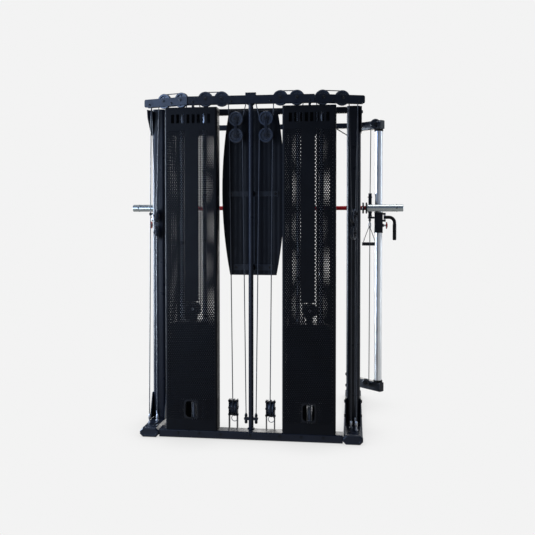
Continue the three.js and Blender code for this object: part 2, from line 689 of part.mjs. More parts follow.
// Curved handle that turns on the side of the carriage. Drawn pointing out along +X from its pivot.
function carriageHandle() {
  const { radius, reach, drop, bend } = HANDLE;
  const point = (x, z) => new THREE.Vector3(x, 0, z);
  const path = new THREE.CurvePath();
  path.add(new THREE.LineCurve3(point(-6, 0), point(reach - bend, 0)));
  path.add(new THREE.QuadraticBezierCurve3(point(reach - bend, 0), point(reach, 0), point(reach, -bend)));
  path.add(new THREE.LineCurve3(point(reach, -bend), point(reach, -drop)));
  const ring = new THREE.Shape().absarc(0, 0, radius, 0, 2 * HALF_TURN);
  const options = { extrudePath: path, steps: 10, curveSegments: 5, bevelEnabled: false };
  return join(new THREE.ExtrudeGeometry(ring, options), cylinder("z", 8, around(0, 16), [0, 0], 12));
}

// The turning head on the carriage: a hollow base and two cheeks with cable wheels between them.
function swivelPulley() {
  const { x, y } = COLUMN_CABLE;
  const { reach, bottom, top, pulley, gap } = SWIVEL;
  const base = cut(
    cylinder("z", 14, [bottom, bottom + 9], [x, y], 8),
    cylinder("z", 6, [bottom - 1, bottom + 10], [x, y], 8),
  );
  const cheeks = [-1, 1].map((side) => {
    const near = x + side * (gap / 2);
    const far = x + side * (gap / 2 + 4);
    return block([Math.min(near, far), Math.max(near, far)], [y - 12, y + reach + 8], [bottom + 4, top]);
  });
  const wheels = [bottom + 32, top - 28].flatMap((z) => [
    turnAbout(wheel(pulley, gap - 3), 0, 0, 90).translate(x, y + reach - 4, z),
    cylinder("x", 5, around(x, gap / 2 + 7), [y + reach - 4, z], 6),
  ]);
  return join(base, ...cheeks, ...wheels);
}

// Ball stop, hook and webbing loop with its hand grip, hanging below the swivel.
function handGrip() {
  const { x } = COLUMN_CABLE;
  const y = COLUMN_CABLE.y + SWIVEL.reach + 16;
  const { z, length, radius, hookZ } = GRIP;
  const centreX = x - 4;
  const webLeg = (side) => {
    const foot = [centreX + side * (length / 2 - 8), z];
    const lean = Math.atan2(foot[0] - x, hookZ - foot[1]);
    const reach = Math.hypot(foot[0] - x, hookZ - foot[1]);
    const web = new THREE.BoxGeometry(4, 24, reach + 6).translate(0, 0, -reach / 2);
    return web.rotateY(-lean).translate(x, y, hookZ);
  };
  return join(
    cylinder("z", 4, [hookZ - 6, SWIVEL.bottom], [x, y], 8),
    cylinder("z", 9, [SWIVEL.bottom - 34, SWIVEL.bottom - 12], [x, y], 10),
    webLeg(-1),
    webLeg(1),
    cylinder("x", radius, around(centreX, length / 2), [y, z], 8),
  );
}

// ---- Press bar ----
// The long shaft with its two sliding bearing blocks and stop collars.
function pressBar() {
  const { y, z, radius } = BAR;
  const blocks = [-1, 1].map((side) => {
    const x = side * BAR_ROD.x;
    const body = block(around(x, 30), [y - 26, BAR_ROD.y + 30], around(z, 45));
    return cut(body, cylinder("z", BAR_ROD.radius + 1, around(z, 60), [x, BAR_ROD.y]));
  });
  const collarEnds = [SLEEVE.start - 24, SLEEVE.start - 12];
  const collars = [-1, 1].map((side) => mirrorTo(side, cylinder("x", SLEEVE.flange, collarEnds, [y, z])));
  return join(cylinder("x", radius, around(0, BAR.end - 6), [y, z]), ...blocks, ...collars);
}

// Chrome sleeve that turns on the end of the shaft, with its inner flange.
function barSleeve() {
  const { y, z, end } = BAR;
  const { start, radius, flange, flangeThickness, play } = SLEEVE;
  const bore = BAR.radius + play;
  const flangeEnd = start + flangeThickness;
  const profile = [
    [bore, start],
    [flange, start],
    [flange, flangeEnd],
    [radius, flangeEnd],
    [radius, end],
    [bore, end],
    [bore, start],
  ];
  const lathe = new THREE.LatheGeometry(profile.map(([r, h]) => new THREE.Vector2(r, h)), ROUND_SIDES);
  return lathe.rotateZ(-HALF_TURN / 2).translate(0, y, z);
}

function barRod() {
  const { x, y, radius } = BAR_ROD;
  const railUnderside = TOP_RAIL.z - TOP_RAIL.height / 2;
  return cylinder("z", radius, [FOOT.height + GAP, railUnderside - GAP], [x, y]);
}

// ---- Assembly ----
function mesh(name, geometry, material) {
  const made = new THREE.Mesh(geometry, material);
  made.name = name;
  return made;
}

// The curved handle on its pivot: folded out sideways on the right, turned towards the user on the left.
function handleAssembly(side) {
  const pivot = new THREE.Group();
  pivot.position.set(COLUMN.x + CARRIAGE.size / 2 + 14, COLUMN.y, HANDLE.pivotZ);
  if (side === "left") pivot.rotation.z = HALF_TURN / 2;
  pivot.add(mesh(`${side}_carriage_handle`, carriageHandle(), RUBBER));
  return pivot;
}

function sideAssembly(side) {
  const half = new THREE.Group();
  if (side === "left") half.scale.x = -1;
  const named = (name, geometry, material) => mesh(`${side}_${name}`, geometry, material);
  half.add(
    named("foot", foot(), FRAME_PAINT),
    named("foot_cap", footCap(), WING_PAINT),
    named("rear_upright", rearUpright(), FRAME_PAINT),
    named("front_frame", frontFrame(), FRAME_PAINT),
    named("rear_shroud", rearShroud(), SHROUD_PAINT),
    named("front_shroud", frontShroud(), SHROUD_PAINT),
    named("guide_rods", guideRods(), ROD_STEEL),
    named("weight_stack", weightStack(), PLATE_IRON),
    named("stack_head", stackHead(), PLATE_IRON),
    named("stack_pin", stackPin(), ZINC),
    named("stack_cable", stackCable(), CABLE_COAT),
    named("centre_block", centreBlock(), PULLEY_PLASTIC),
    named("outer_block", outerBlock(), PULLEY_PLASTIC),
    named("low_block", lowBlock(), PULLEY_PLASTIC),
    named("column_post", columnPost(), CHROME),
    named("carriage", carriage(), FRAME_PAINT),
    named("pop_pin", popPin(), RED_PAINT),
    named("swivel_pulley", swivelPulley(), FRAME_PAINT),
    named("hand_grip", handGrip(), RUBBER),
    named("bar_rod", barRod(), ROD_STEEL),
    named("bar_sleeve", barSleeve(), CHROME),
    handleAssembly(side),
  );
  [...INNER_PULLEYS, ...OUTER_PULLEYS].forEach((x, i) => {
    half.add(named(`top_pulley_${i + 1}`, topPulley(x), PULLEY_PLASTIC));
  });
  return half;
}

const machine = new THREE.Group();
machine.add(
  mesh("rear_base_beam", rearBaseBeam(), FRAME_PAINT),
  mesh("top_pulley_beam", topPulleyBeam(), FRAME_PAINT),
  mesh("top_cross_beam", topCrossBeam(), FRAME_PAINT),
  mesh("front_top_beam", frontTopBeam(), FRAME_PAINT),
  mesh("centre_post", centrePost(), FRAME_PAINT),
  mesh("exercise_board", exerciseBoard(), BOARD_PAINT),
  mesh("board_bracket", boardBracket(), FRAME_PAINT),
  mesh("press_bar", pressBar(), RED_PAINT),
  sideAssembly("left"),
  sideAssembly("right"),
);

export default machine;
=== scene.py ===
"""Looks of a functional trainer with two weight stacks, two pulley columns and a guided press bar.

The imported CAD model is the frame: +Z up, the rear towards -Y, one side at +X. All shapes below are drawn in
millimetres in that frame, once for the right side (+X), and mirrored for the left.
"""

import math

import bmesh
import bpy
from mathutils import Matrix, Vector
from mathutils.geometry import tessellate_polygon


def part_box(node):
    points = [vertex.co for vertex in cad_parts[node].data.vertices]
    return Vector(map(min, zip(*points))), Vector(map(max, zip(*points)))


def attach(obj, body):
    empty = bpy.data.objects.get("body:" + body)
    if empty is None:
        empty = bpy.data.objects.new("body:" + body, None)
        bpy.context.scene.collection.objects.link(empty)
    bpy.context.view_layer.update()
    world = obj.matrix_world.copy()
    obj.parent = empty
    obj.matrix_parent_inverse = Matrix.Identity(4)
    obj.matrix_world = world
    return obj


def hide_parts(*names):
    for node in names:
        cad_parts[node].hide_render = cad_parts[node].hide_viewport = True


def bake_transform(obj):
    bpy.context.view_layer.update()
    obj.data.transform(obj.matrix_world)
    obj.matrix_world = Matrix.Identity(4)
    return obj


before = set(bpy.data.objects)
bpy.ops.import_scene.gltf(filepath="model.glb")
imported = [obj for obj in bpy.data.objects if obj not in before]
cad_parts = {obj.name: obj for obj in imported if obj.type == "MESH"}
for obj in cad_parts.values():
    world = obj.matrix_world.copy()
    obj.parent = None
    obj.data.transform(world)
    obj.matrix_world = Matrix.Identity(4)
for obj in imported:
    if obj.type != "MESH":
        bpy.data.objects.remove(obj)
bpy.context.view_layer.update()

MM = 0.001
RIGHT_ANGLE = math.pi / 2


def span(node):
    """The x, y and z spans of a CAD node in millimetres."""
    low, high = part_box(node)
    return [(low[i] / MM, high[i] / MM) for i in range(3)]


def middle(low_high):
    return sum(low_high) / 2


# ---- Dimensions read from the frame ----
FOOT_X, FOOT_Y, _ = span("right_foot")
CAP_X, CAP_Y, CAP_Z = span("right_foot_cap")
_, _, UPRIGHT_Z = span("right_rear_upright")
_, BASE_Y, BASE_Z = span("rear_base_beam")
BOARD_X, BOARD_Y, BOARD_Z = span("exercise_board")
SHROUD_X, REAR_SHROUD_Y, SHROUD_Z = span("right_rear_shroud")
_, FRONT_SHROUD_Y, _ = span("right_front_shroud")
STACK_X, STACK_Y, STACK_Z = span("right_weight_stack")
_, _, POST_Z = span("right_column_post")
BAR_X, _, _ = span("press_bar")
SLEEVE_X, _, _ = span("right_bar_sleeve")
_, _, ROD_Z = span("right_bar_rod")

# ---- Dimensions of the details ----
GAP = 0.3
WALL = 3
PLATE = 5
FOOT_X_MID = middle(FOOT_X)
FOOT_HEIGHT = 55
FOOT_CHAMFER = 16
BASE_BEAM = {"y": -522.5, "width": 85, "corner": 8}
UPRIGHT = {"x": 617, "y": -305, "width": 86, "depth": 74, "corner": 22}
GUSSET = {"half": 82, "edge": 25, "neck": 34, "top": 215}
FRONT_UPRIGHT = {"x": 610, "y": 435, "size": 60, "top": 2019}
RAIL = {"z": 2000, "width": 50, "height": 38}
CROSS_BEAM = {"z": 2004, "depth": 38, "height": 40}
BRACE = {"half": 55, "drop": 42, "tilt": 32}
ARM = {"width": 44, "top_height": 60, "base_height": 64}
TOP_ARM_WHEEL = {"x": 766, "z": 1991, "radius": 35}
BASE_ARM_WHEEL = {"x": 706, "z": 176, "radius": 25}
BEAM = {"y": -495, "gap": 28, "bottom": 2025, "top": 2074, "straight": 385, "end": 691, "corner": 10}
BEAM_TURN = 17
TOP_WHEEL = {"z": 2057, "radius": 46, "width": 20}
TOP_WHEELS_X = [179, 278.5, 431, 547]
SPACERS_X = [120, 355, 489, 640]
TOWER_X = middle(SHROUD_X)
TOWER_HALF = (SHROUD_X[1] - SHROUD_X[0]) / 2
SHEET = 2
BEND = 8
HOLE_STEP = 6.3
HOLE = 3.4
MESH_TOP = 1862
VENTS = {"low": 1905, "high": 1958, "half": 126}
SLOT = {"half": 38, "bottom": 215, "top": 1850}
WINDOW = {"half": 40, "bottom": 125, "top": 230}
STRIP = {"inner": -45, "outer": 33, "bottom": 840}
REAR_SHEET = {"half": TOWER_HALF, "cells": 23, "side_cells": 0, "bottom": 116, "rows": 160}
FRONT_SHEET = {"half": 128.5, "cells": 19, "side_cells": 14, "bottom": 200, "rows": 151}
RODS = {"half": 69.5, "radius": 12.5, "top": 2004}
STACK_PLATES = {"count": 16, "gap": 2.0}
HEAD = {"top": 704, "wheel_z": 780, "radius": 44, "strand": 43.5}
BOARD_CURVE = {"radius": 2790, "waist": 1507}
POST_RADIUS = 15
ANCHOR_X = 31
CENTRE_BLOCK = {"x": 92, "upper": 1936, "lower": 1835, "radius": 44}
OUTER_BLOCK = {"x": 617, "y": -395, "upper": 1349, "lower": 1245, "radius": 44}
OUTER_BLOCK_TURN = 72
LOW_BLOCK = {"x": 115, "y": -462, "axle": 168, "radius": 49, "wheel_y": -437, "half": 25, "bolts": 42}
COLUMN = {"x": 790, "y": 275, "radius": 25.4}
COLUMN_HOLES = {"count": 16, "low": 385, "step": 90, "radius": 5.5}
CABLE_X, CABLE_Y = 731, 267
CABLE = 3
CARRIAGE_Z = (1230, 1375)
CARRIAGE_HALF = 29
SWIVEL = {"bottom": 1343.5, "top": 1508, "reach": 34, "wheel": 21, "gap": 15}
KNOB_Z = 1282
HANDLE = {"x": 833, "z": 1339, "reach": 68, "drop": 160, "bend": 38, "radius": 11.5}
GRIP = {"x": 727, "y": 317, "z": 1150, "half": 50, "hook": 1275}
BAR = {"y": 195, "z": 1403, "radius": 14.5, "sleeve": 700, "flange": 38, "sleeve_radius": 24.5}
BAR_ROD = {"x": 620, "y": 240, "radius": 12.5}
BEARING = {"rear": 26, "front": 30, "half_width": 30, "half_height": 45}
CABLE_TOP = BEAM["bottom"] - 24
INNER_FALL = 1990
OUTER_CABLE = {"x": 637, "y": -495, "top": (640, -424, 2026)}
BACKDROP = 0.896
ROOM_COLOUR = (0.165, 0.205, 0.285, 1)


# ---- Solids: every function returns a list of (points, faces) with closed surfaces ----
def on_axis(axis, along, a, b):
    """The point at `along` on the axis, with a and b on the other two axes in x, y, z order."""
    if axis == "x":
        return Vector((along, a, b))
    if axis == "y":
        return Vector((a, along, b))
    return Vector((a, b, along))


def circle(radius, at=(0, 0), steps=24, turn=0.0):
    angles = [turn + 2 * math.pi * i / steps for i in range(steps)]
    return [(at[0] + radius * math.cos(a), at[1] + radius * math.sin(a)) for a in angles]


def arc(centre, radius, start, end, steps):
    """Points of an arc in a plane, with angles in degrees."""
    angles = [math.radians(start + (end - start) * i / steps) for i in range(steps + 1)]
    return [(centre[0] + radius * math.cos(a), centre[1] + radius * math.sin(a)) for a in angles]


def rounded_rect(width, height, corner, at=(0, 0)):
    points = []
    for quarter, (sx, sy) in enumerate(((1, 1), (-1, 1), (-1, -1), (1, -1))):
        centre = (at[0] + sx * (width / 2 - corner), at[1] + sy * (height / 2 - corner))
        points += arc(centre, corner, 90 * quarter, 90 * quarter + 90, 6)
    return points


def dumbbell(low, high, radius, neck):
    """Upright outline with a round eye at each end and a neck between them; `neck` is half its width."""
    spread = math.degrees(math.asin(neck / radius))
    sweep_angle = 360 - 2 * spread
    points = []
    for centre, start in ((high, -90 + spread), (low, 90 + spread)):
        points += arc(centre, radius, start, start + sweep_angle, 18)
    return points


def octagon(width, height, chamfer, at):
    w, h = width / 2, height / 2
    wi, hi = w - chamfer, h - chamfer
    corners = [(w, -hi), (w, hi), (wi, h), (-wi, h), (-w, hi), (-w, -hi), (-wi, -h), (wi, -h)]
    return [(at[0] + x, at[1] + y) for x, y in corners]


def plate(axis, outline, ends, holes=()):
    """A flat outline, with holes, given thickness along an axis between the two ends."""
    loops = [outline, *holes]
    flat = [p for loop in loops for p in loop]
    triangles = tessellate_polygon([[Vector((x, y, 0)) for x, y in loop] for loop in loops])
    count = len(flat)
    points = [on_axis(axis, end, x, y) for end in ends for x, y in flat]
    faces = [list(t) for t in triangles] + [[i + count for i in reversed(t)] for t in triangles]
    start = 0
    for loop in loops:
        for i in range(len(loop)):
            a, b = start + i, start + (i + 1) % len(loop)
            faces.append([a, b, b + count, a + count])
        start += len(loop)
    return [(points, faces)]


def box(x, y, z, corner=0.0):
    """A block; with a corner radius its edges along Z are rounded."""
    if not corner:
        return plate("z", [(x[0], y[0]), (x[1], y[0]), (x[1], y[1]), (x[0], y[1])], z)
    outline = rounded_rect(x[1] - x[0], y[1] - y[0], corner, (middle(x), middle(y)))
    return plate("z", outline, z)


def tube(axis, width, height, corner, ends, at):
    """Rectangular steel tube with its real wall, open at both ends."""
    outer = rounded_rect(width, height, corner, at)
    inner = rounded_rect(width - 2 * WALL, height - 2 * WALL, max(corner - WALL, 1), at)
    return plate(axis, outer, ends, [inner])


def lathe(axis, profile, at=(0, 0), sides=32):
    """Turns (radius, position) pairs about the axis; a profile that keeps off the axis becomes a ring."""
    points, rings = [], []
    for radius, along in profile:
        if radius < 1e-6:
            rings.append([len(points)])
            points.append(on_axis(axis, along, *at))
            continue
        rings.append(range(len(points), len(points) + sides))
        points += [on_axis(axis, along, a, b) for a, b in circle(radius, at, sides)]
    pairs = list(zip(rings, rings[1:]))
    if len(rings[0]) > 1:
        pairs.append((rings[-1], rings[0]))
    faces = []
    for low, high in pairs:
        for i in range(sides):
            j = (i + 1) % sides
            corners = [low[i % len(low)], low[j % len(low)], high[j % len(high)], high[i % len(high)]]
            faces.append(list(dict.fromkeys(corners)))
    return [(points, faces)]


def rod(axis, radius, ends, at=(0, 0), sides=24, edge=1.0):
    """Solid round bar with chamfered ends."""
    low, high = ends
    profile = [(0, low), (radius - edge, low), (radius, low + edge)]
    profile += [(radius, high - edge), (radius - edge, high), (0, high)]
    return lathe(axis, profile, at, sides)


def sweep(path, radius, sides=10):
    """A round cable or wire along a list of points."""
    path = [Vector(p) for p in path]
    points, faces = [], []
    previous, side_way = None, None
    for i, p in enumerate(path):
        ahead = (path[min(i + 1, len(path) - 1)] - path[max(i - 1, 0)]).normalized()
        if side_way is None:
            side_way = ahead.orthogonal().normalized()
        else:
            side_way = (side_way - ahead * side_way.dot(ahead)).normalized()
        other = ahead.cross(side_way)
        ring = range(len(points), len(points) + sides)
        for a, b in circle(radius, steps=sides):
            points.append(p + side_way * a + other * b)
        if previous:
            for k in range(sides):
                m = (k + 1) % sides
                faces.append([previous[k], previous[m], ring[m], ring[k]])
        previous = ring
    faces.append(list(range(sides)))
    faces.append(list(reversed(previous)))
    return [(points, faces)]


def collar(axis, inner, outer, ends, at, sides=32):
    """Ring with a square section."""
    low, high = ends
    return lathe(axis, [(inner, low), (outer, low), (outer, high), (inner, high)], at, sides)


def spring(at, ends, radius, wire, coils):
    steps = 14 * coils
    path = []
    for i in range(steps + 1):
        turn = 2 * math.pi * coils * i / steps
        height = ends[0] + (ends[1] - ends[0]) * i / steps
        path.append((at[0] + radius * math.cos(turn), at[1] + radius * math.sin(turn), height))
    return sweep(path, wire, 6)


def moved(solids, matrix):
    return [([matrix @ Vector(p) for p in points], faces) for points, faces in solids]


def turned(solids, degrees, at=(0, 0), axis="Z"):
    """Turns solids about an axis through `at`: (x, y) for Z, (x, z) for Y, (y, z) for X."""
    centre = {"X": Vector((0, *at)), "Y": Vector((at[0], 0, at[1])), "Z": Vector((*at, 0))}[axis]
    turn = Matrix.Rotation(math.radians(degrees), 4, axis)
    return moved(solids, Matrix.Translation(centre) @ turn @ Matrix.Translation(-centre))


def shifted(solids, x=0, y=0, z=0):
    return moved(solids, Matrix.Translation((x, y, z)))


# ---- Repeated hardware ----
def hex_bolt(axis, face, out, at, size=9.0):
    """Washer and hexagon head on a surface at `face`, standing out in the direction of `out` (+1 or -1)."""
    def level(height):
        return face + out * height

    washer = [(0, level(-0.5)), (size * 1.35, level(-0.5)), (size * 1.35, level(1.6)), (0, level(1.6))]
    head = [(0, level(1.2)), (size, level(1.2)), (size, level(size * 0.62))]
    head += [(size * 0.86, level(size * 0.72)), (size * 0.4, level(size * 0.72)), (0, level(size * 0.64))]
    return lathe(axis, washer, at, 24) + lathe(axis, head, at, 6)


def button_screw(axis, face, out, at, size=6.0):
    """Round head with a socket."""
    heights = [(0, -0.4), (1, -0.4), (1, 0.25), (0.8, 0.6), (0.45, 0.7), (0.42, 0.2), (0, 0.2)]
    return lathe(axis, [(r * size, face + out * h * size) for r, h in heights], at, 16)


def rib(axis, ends, thickness, width=1.6):
    """A thin web between two points of the plane across the axis."""
    (x0, y0), (x1, y1) = ends
    length = math.hypot(x1 - x0, y1 - y0)
    nx, ny = (y0 - y1) / length * width, (x1 - x0) / length * width
    outline = [(x0 + nx, y0 + ny), (x0 - nx, y0 - ny), (x1 - nx, y1 - ny), (x1 + nx, y1 + ny)]
    return plate(axis, outline, thickness)


def cable_wheel(axis, centre, radius, width, at, hub=12.0):
    """Moulded cable wheel: grooved rim, thin web with radial ribs, and hub with a bore."""
    half, depth = width / 2, 7
    rim = [(radius - 13, centre - half * 0.6), (radius - 11, centre - half), (radius - 2, centre - half)]
    rim.append((radius, centre - half + 2))
    for i in range(7):
        a = math.pi * i / 6
        rim.append((radius - depth * math.sin(a) * 0.93 - 0.5, centre - math.cos(a) * (half - 2.6)))
    rim += [(radius, centre + half - 2), (radius - 2, centre + half)]
    rim += [(radius - 11, centre + half), (radius - 13, centre + half * 0.6)]
    boss = [(7, centre - half), (hub, centre - half), (hub + 1, centre - half + 2)]
    boss += [(hub + 1, centre + half - 2), (hub, centre + half), (7, centre + half)]
    ribs = []
    for i in range(8 if radius > 30 else 0):
        a = math.pi * i / 4
        ends = [(at[0] + r * math.cos(a), at[1] + r * math.sin(a)) for r in (hub, radius - 12)]
        ribs += rib(axis, ends, (centre - half * 0.55, centre + half * 0.55))
    faces = (centre - half * 0.2, centre + half * 0.2)
    web = plate(axis, circle(radius - 12.5, at, 40), faces, [circle(9, at, 20)])
    return lathe(axis, rim, at, 40) + lathe(axis, boss, at, 28) + web + ribs


def axle_bolt(axis, ends, at, size=8.0):
    """Bolt through a wheel, with a bearing face, a head on one side and a nut on the other."""
    low, high = ends
    return (
        rod(axis, size * 0.7, (low, high), at, 16)
        + hex_bolt(axis, low, -1, at, size)
        + hex_bolt(axis, high, 1, at, size)
    )


def terminal(x, y, low, high):
    """Threaded cable end with a lock nut and a crimped sleeve."""
    length = high - low
    sleeve = [(0, low + length * 0.45), (5, low + length * 0.45), (7, low + length * 0.5)]
    sleeve += [(7, low + length * 0.9), (5, high), (0, high)]
    nut = collar("z", 0, 10, (low + 3, low + 12), (x, y), 6)
    return rod("z", 5, (low, low + length * 0.5), (x, y), 16) + nut + lathe("z", sleeve, (x, y), 20)


def split_ring(centre, radius, wire):
    """Two turns of wire that lie side by side."""
    turns = arc((centre[0], centre[2]), radius, 0, 720, 48)
    return sweep([(x, centre[1] + wire * (i / 24 - 1), z) for i, (x, z) in enumerate(turns)], wire, 8)


# ---- Materials ----
def add_node(tree, kind, inputs, **settings):
    """Adds a shader node. An input is a value or another node's output socket."""
    node = tree.nodes.new(kind)
    for key, value in settings.items():
        setattr(node, key, value)
    for key, value in inputs.items():
        feed(tree, node.inputs[key], value)
    return node


def feed(tree, socket, value):
    if isinstance(value, bpy.types.NodeSocket):
        tree.links.new(value, socket)
    else:
        socket.default_value = value


def rgba(colour):
    return (*colour, 1) if isinstance(colour, tuple) else colour


class Look:
    """A node material in the making; its methods add nodes and return the output socket."""

    def __init__(self, name, slot):
        self.slot = slot
        self.material = bpy.data.materials.new(name)
        self.material.use_nodes = True
        self.tree = self.material.node_tree
        self.surface = self.tree.nodes["Principled BSDF"]
        self.where = self.tree.nodes.new("ShaderNodeTexCoord").outputs["Object"]

    def add(self, kind, inputs, **settings):
        return add_node(self.tree, kind, inputs, **settings)

    def set(self, **inputs):
        for key, value in inputs.items():
            feed(self.tree, self.surface.inputs[key.replace("_", " ")], value)

    def noise(self, scale, detail, stretch=(1, 1, 1)):
        place = self.add("ShaderNodeMapping", {"Vector": self.where, "Scale": stretch}).outputs[0]
        inputs = {"Vector": place, "Scale": scale, "Detail": detail}
        return self.add("ShaderNodeTexNoise", inputs).outputs["Fac"]

    def wave(self, scale, direction, distortion=0.0):
        inputs = {"Vector": self.where, "Scale": scale, "Distortion": distortion}
        return self.add("ShaderNodeTexWave", inputs, bands_direction=direction).outputs["Fac"]

    def between(self, value, low, high, start=0.0, end=1.0):
        inputs = {"Value": value, "From Min": low, "From Max": high, "To Min": start, "To Max": end}
        return self.add("ShaderNodeMapRange", inputs).outputs[0]

    def mix(self, share, first, second):
        inputs = {0: share, 6: rgba(first), 7: rgba(second)}
        return self.add("ShaderNodeMix", inputs, data_type="RGBA").outputs[2]

    def times(self, first, second):
        return self.add("ShaderNodeMath", {0: first, 1: second}, operation="MULTIPLY").outputs[0]

    def bump(self, height, depth, strength=1.0, below=None):
        inputs = {"Height": height, "Distance": depth, "Strength": strength}
        if below is not None:
            inputs["Normal"] = below
        return self.add("ShaderNodeBump", inputs).outputs[0]

    def edges(self, radius):
        """1 along sharp edges and 0 on flat ground, broken up by noise."""
        rounded = self.add("ShaderNodeBevel", {"Radius": radius}, samples=4).outputs[0]
        plain = self.tree.nodes.new("ShaderNodeNewGeometry").outputs["Normal"]
        same = self.add("ShaderNodeVectorMath", {0: rounded, 1: plain}, operation="DOT_PRODUCT")
        sharp = self.between(same.outputs["Value"], 0.98, 0.86)
        return self.times(sharp, self.between(self.noise(60, 4), 0.45, 0.6))


LOOKS = {}
EDGE_GREY = (0.06, 0.06, 0.07)
UNWORN = (0.05, 0.05, 0.05)


def tinted(colour, factor):
    return tuple(c * factor for c in colour)


def coated(
    name, slot, colour, worn, roughness, grain=900.0, depth=0.00012, metallic=0.0, wear=0.6, gloss=0.24
):
    """Paint or moulded plastic: fine orange peel, patchy sheen, slight colour drift and worn edges."""
    look = Look(name, slot)
    patches = look.between(look.noise(7, 4), 0.35, 0.65)
    shade = look.mix(patches, tinted(colour, 0.85), tinted(colour, 1.15))
    if wear:
        shade = look.mix(look.times(look.edges(0.0015), wear), shade, worn)
    look.set(Base_Color=shade, Metallic=metallic, Specular_IOR_Level=gloss)
    look.set(Roughness=look.between(look.noise(22, 5), 0.3, 0.7, roughness - 0.07, roughness + 0.09))
    look.set(Normal=look.bump(look.noise(grain, 2), depth, 0.6))
    LOOKS[name] = look
    return look


def metal(name, slot, colour, roughness, scratch=(90, 90, 2), depth=0.00001):
    """Bare or plated metal with fine drawn lines and finger marks."""
    look = Look(name, slot)
    marks = look.noise(14, 5)
    look.set(Base_Color=look.mix(look.between(marks, 0.3, 0.7), tinted(colour, 0.9), colour))
    look.set(Metallic=1.0, Roughness=look.between(marks, 0.35, 0.7, roughness, roughness + 0.12))
    look.set(Normal=look.bump(look.noise(6, 2, scratch), depth, 0.5))
    LOOKS[name] = look


def cast_iron():
    look = coated("cast_iron", "plate_iron", (0.011, 0.014, 0.02), EDGE_GREY, 0.5, 260, 0.0004, metallic=0.2)
    pits = look.between(look.noise(90, 6), 0.42, 0.6)
    look.set(Normal=look.bump(pits, 0.0004, 0.5, look.bump(look.noise(420, 3), 0.0003, 0.6)))


def wire_rope():
    """Coated cable: the strands of the rope show faintly through the coat as slanting ridges."""
    look = coated("wire_rope", "cable_coat", (0.045, 0.048, 0.055), UNWORN, 0.38, wear=0)
    look.set(Normal=look.bump(look.wave(260, "DIAGONAL", 0.4), 0.0003, 0.5))


def knurled_rubber():
    look = coated("knurled_rubber", "grip_rubber", (0.009, 0.0095, 0.011), UNWORN, 0.62, wear=0)
    cells = look.add("ShaderNodeTexVoronoi", {"Vector": look.where, "Scale": 520.0}).outputs["Distance"]
    look.set(Normal=look.bump(cells, 0.0006, 0.8))


def webbing():
    """Nylon web: crossing waves stand for warp and weft."""
    look = coated("webbing", "grip_rubber", (0.012, 0.013, 0.016), UNWORN, 0.82, wear=0)
    look.set(Normal=look.bump(look.times(look.wave(190, "Y"), look.wave(150, "Z")), 0.0007, 0.9))
    look.surface.inputs["Sheen Weight"].default_value = 0.3


def ribbed_board():
    """Moulded board with faint upright ribs."""
    colour = (0.005, 0.0068, 0.0115)
    look = coated("board_paint", "board_paint", colour, EDGE_GREY, 0.42, 500, 0.0002, gloss=0.15)
    grain = look.bump(look.noise(500, 2), 0.0002, 0.6)
    look.set(Normal=look.bump(look.wave(10.5, "X"), 0.0012, 0.8, grain))


coated("frame_paint", "frame_paint", (0.0055, 0.0078, 0.0145), (0.09, 0.1, 0.12), 0.33)
coated("black_steel", "frame_paint", (0.006, 0.0065, 0.008), (0.12, 0.12, 0.13), 0.3, 300, 0.0001)
coated("cap_paint", "cap_paint", (0.009, 0.0125, 0.021), (0.1, 0.11, 0.13), 0.36)
coated("shroud_paint", "shroud_paint", (0.0028, 0.0034, 0.005), UNWORN, 0.42, wear=0, gloss=0.11)
ribbed_board()
coated("bracket_paint", "frame_paint", (0.013, 0.017, 0.026), (0.1, 0.11, 0.12), 0.4)
coated("red_paint", "red_paint", (0.30, 0.003, 0.006), (0.4, 0.25, 0.23), 0.3, wear=0.3)
coated("pulley_plastic", "pulley_plastic", (0.02, 0.026, 0.04), UNWORN, 0.25, 300, 0.0001, wear=0, gloss=0.45)
coated("black_rubber", "grip_rubber", (0.006, 0.006, 0.007), UNWORN, 0.7, 350, 0.0004, wear=0)
metal("chrome", "chrome", (0.95, 0.97, 0.98), 0.3, (2, 2, 2), 0.000002)
metal("sleeve_steel", "chrome", (0.41, 0.445, 0.45), 0.2, (2, 40, 40), 0.000006)
metal("rod_steel", "rod_steel", (0.38, 0.41, 0.46), 0.26)
metal("zinc", "zinc", (0.42, 0.44, 0.48), 0.32, (60, 60, 60), 0.00002)
cast_iron()
wire_rope()
knurled_rubber()
webbing()


# ---- Pieces ----
def piece(name, solids, look, mirrored=False, bevel=0.0, smooth=35.0):
    """Joins solids to one mesh object in metres, with outward faces, soft edges and its material."""
    mesh = bpy.data.meshes.new(name)
    points, faces = [], []
    for solid_points, solid_faces in solids:
        base = len(points)
        points += solid_points
        faces += [[i + base for i in face] for face in solid_faces]
    flip = -MM if mirrored else MM
    mesh.from_pydata([(p[0] * flip, p[1] * MM, p[2] * MM) for p in points], [], faces)
    shell = bmesh.new()
    shell.from_mesh(mesh)
    bmesh.ops.recalc_face_normals(shell, faces=shell.faces)
    shell.to_mesh(mesh)
    shell.free()
    mesh.shade_smooth()
    mesh.set_sharp_from_angle(angle=math.radians(smooth))
    mesh.materials.append(LOOKS[look].material)
    made = bpy.data.objects.new(name, mesh)
    bpy.context.scene.collection.objects.link(made)
    if bevel:
        edge = made.modifiers.new("edges", "BEVEL")
        edge.width = bevel * MM
        edge.segments = 2
        edge.limit_method = "ANGLE"
        edge.angle_limit = math.radians(smooth)
        made.modifiers.new("shading", "WEIGHTED_NORMAL").keep_sharp = True
    return made


def single(name, solids, look, body="root", node=None, **options):
    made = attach(piece(name, solids, look, **options), body)
    if node:
        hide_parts(node)


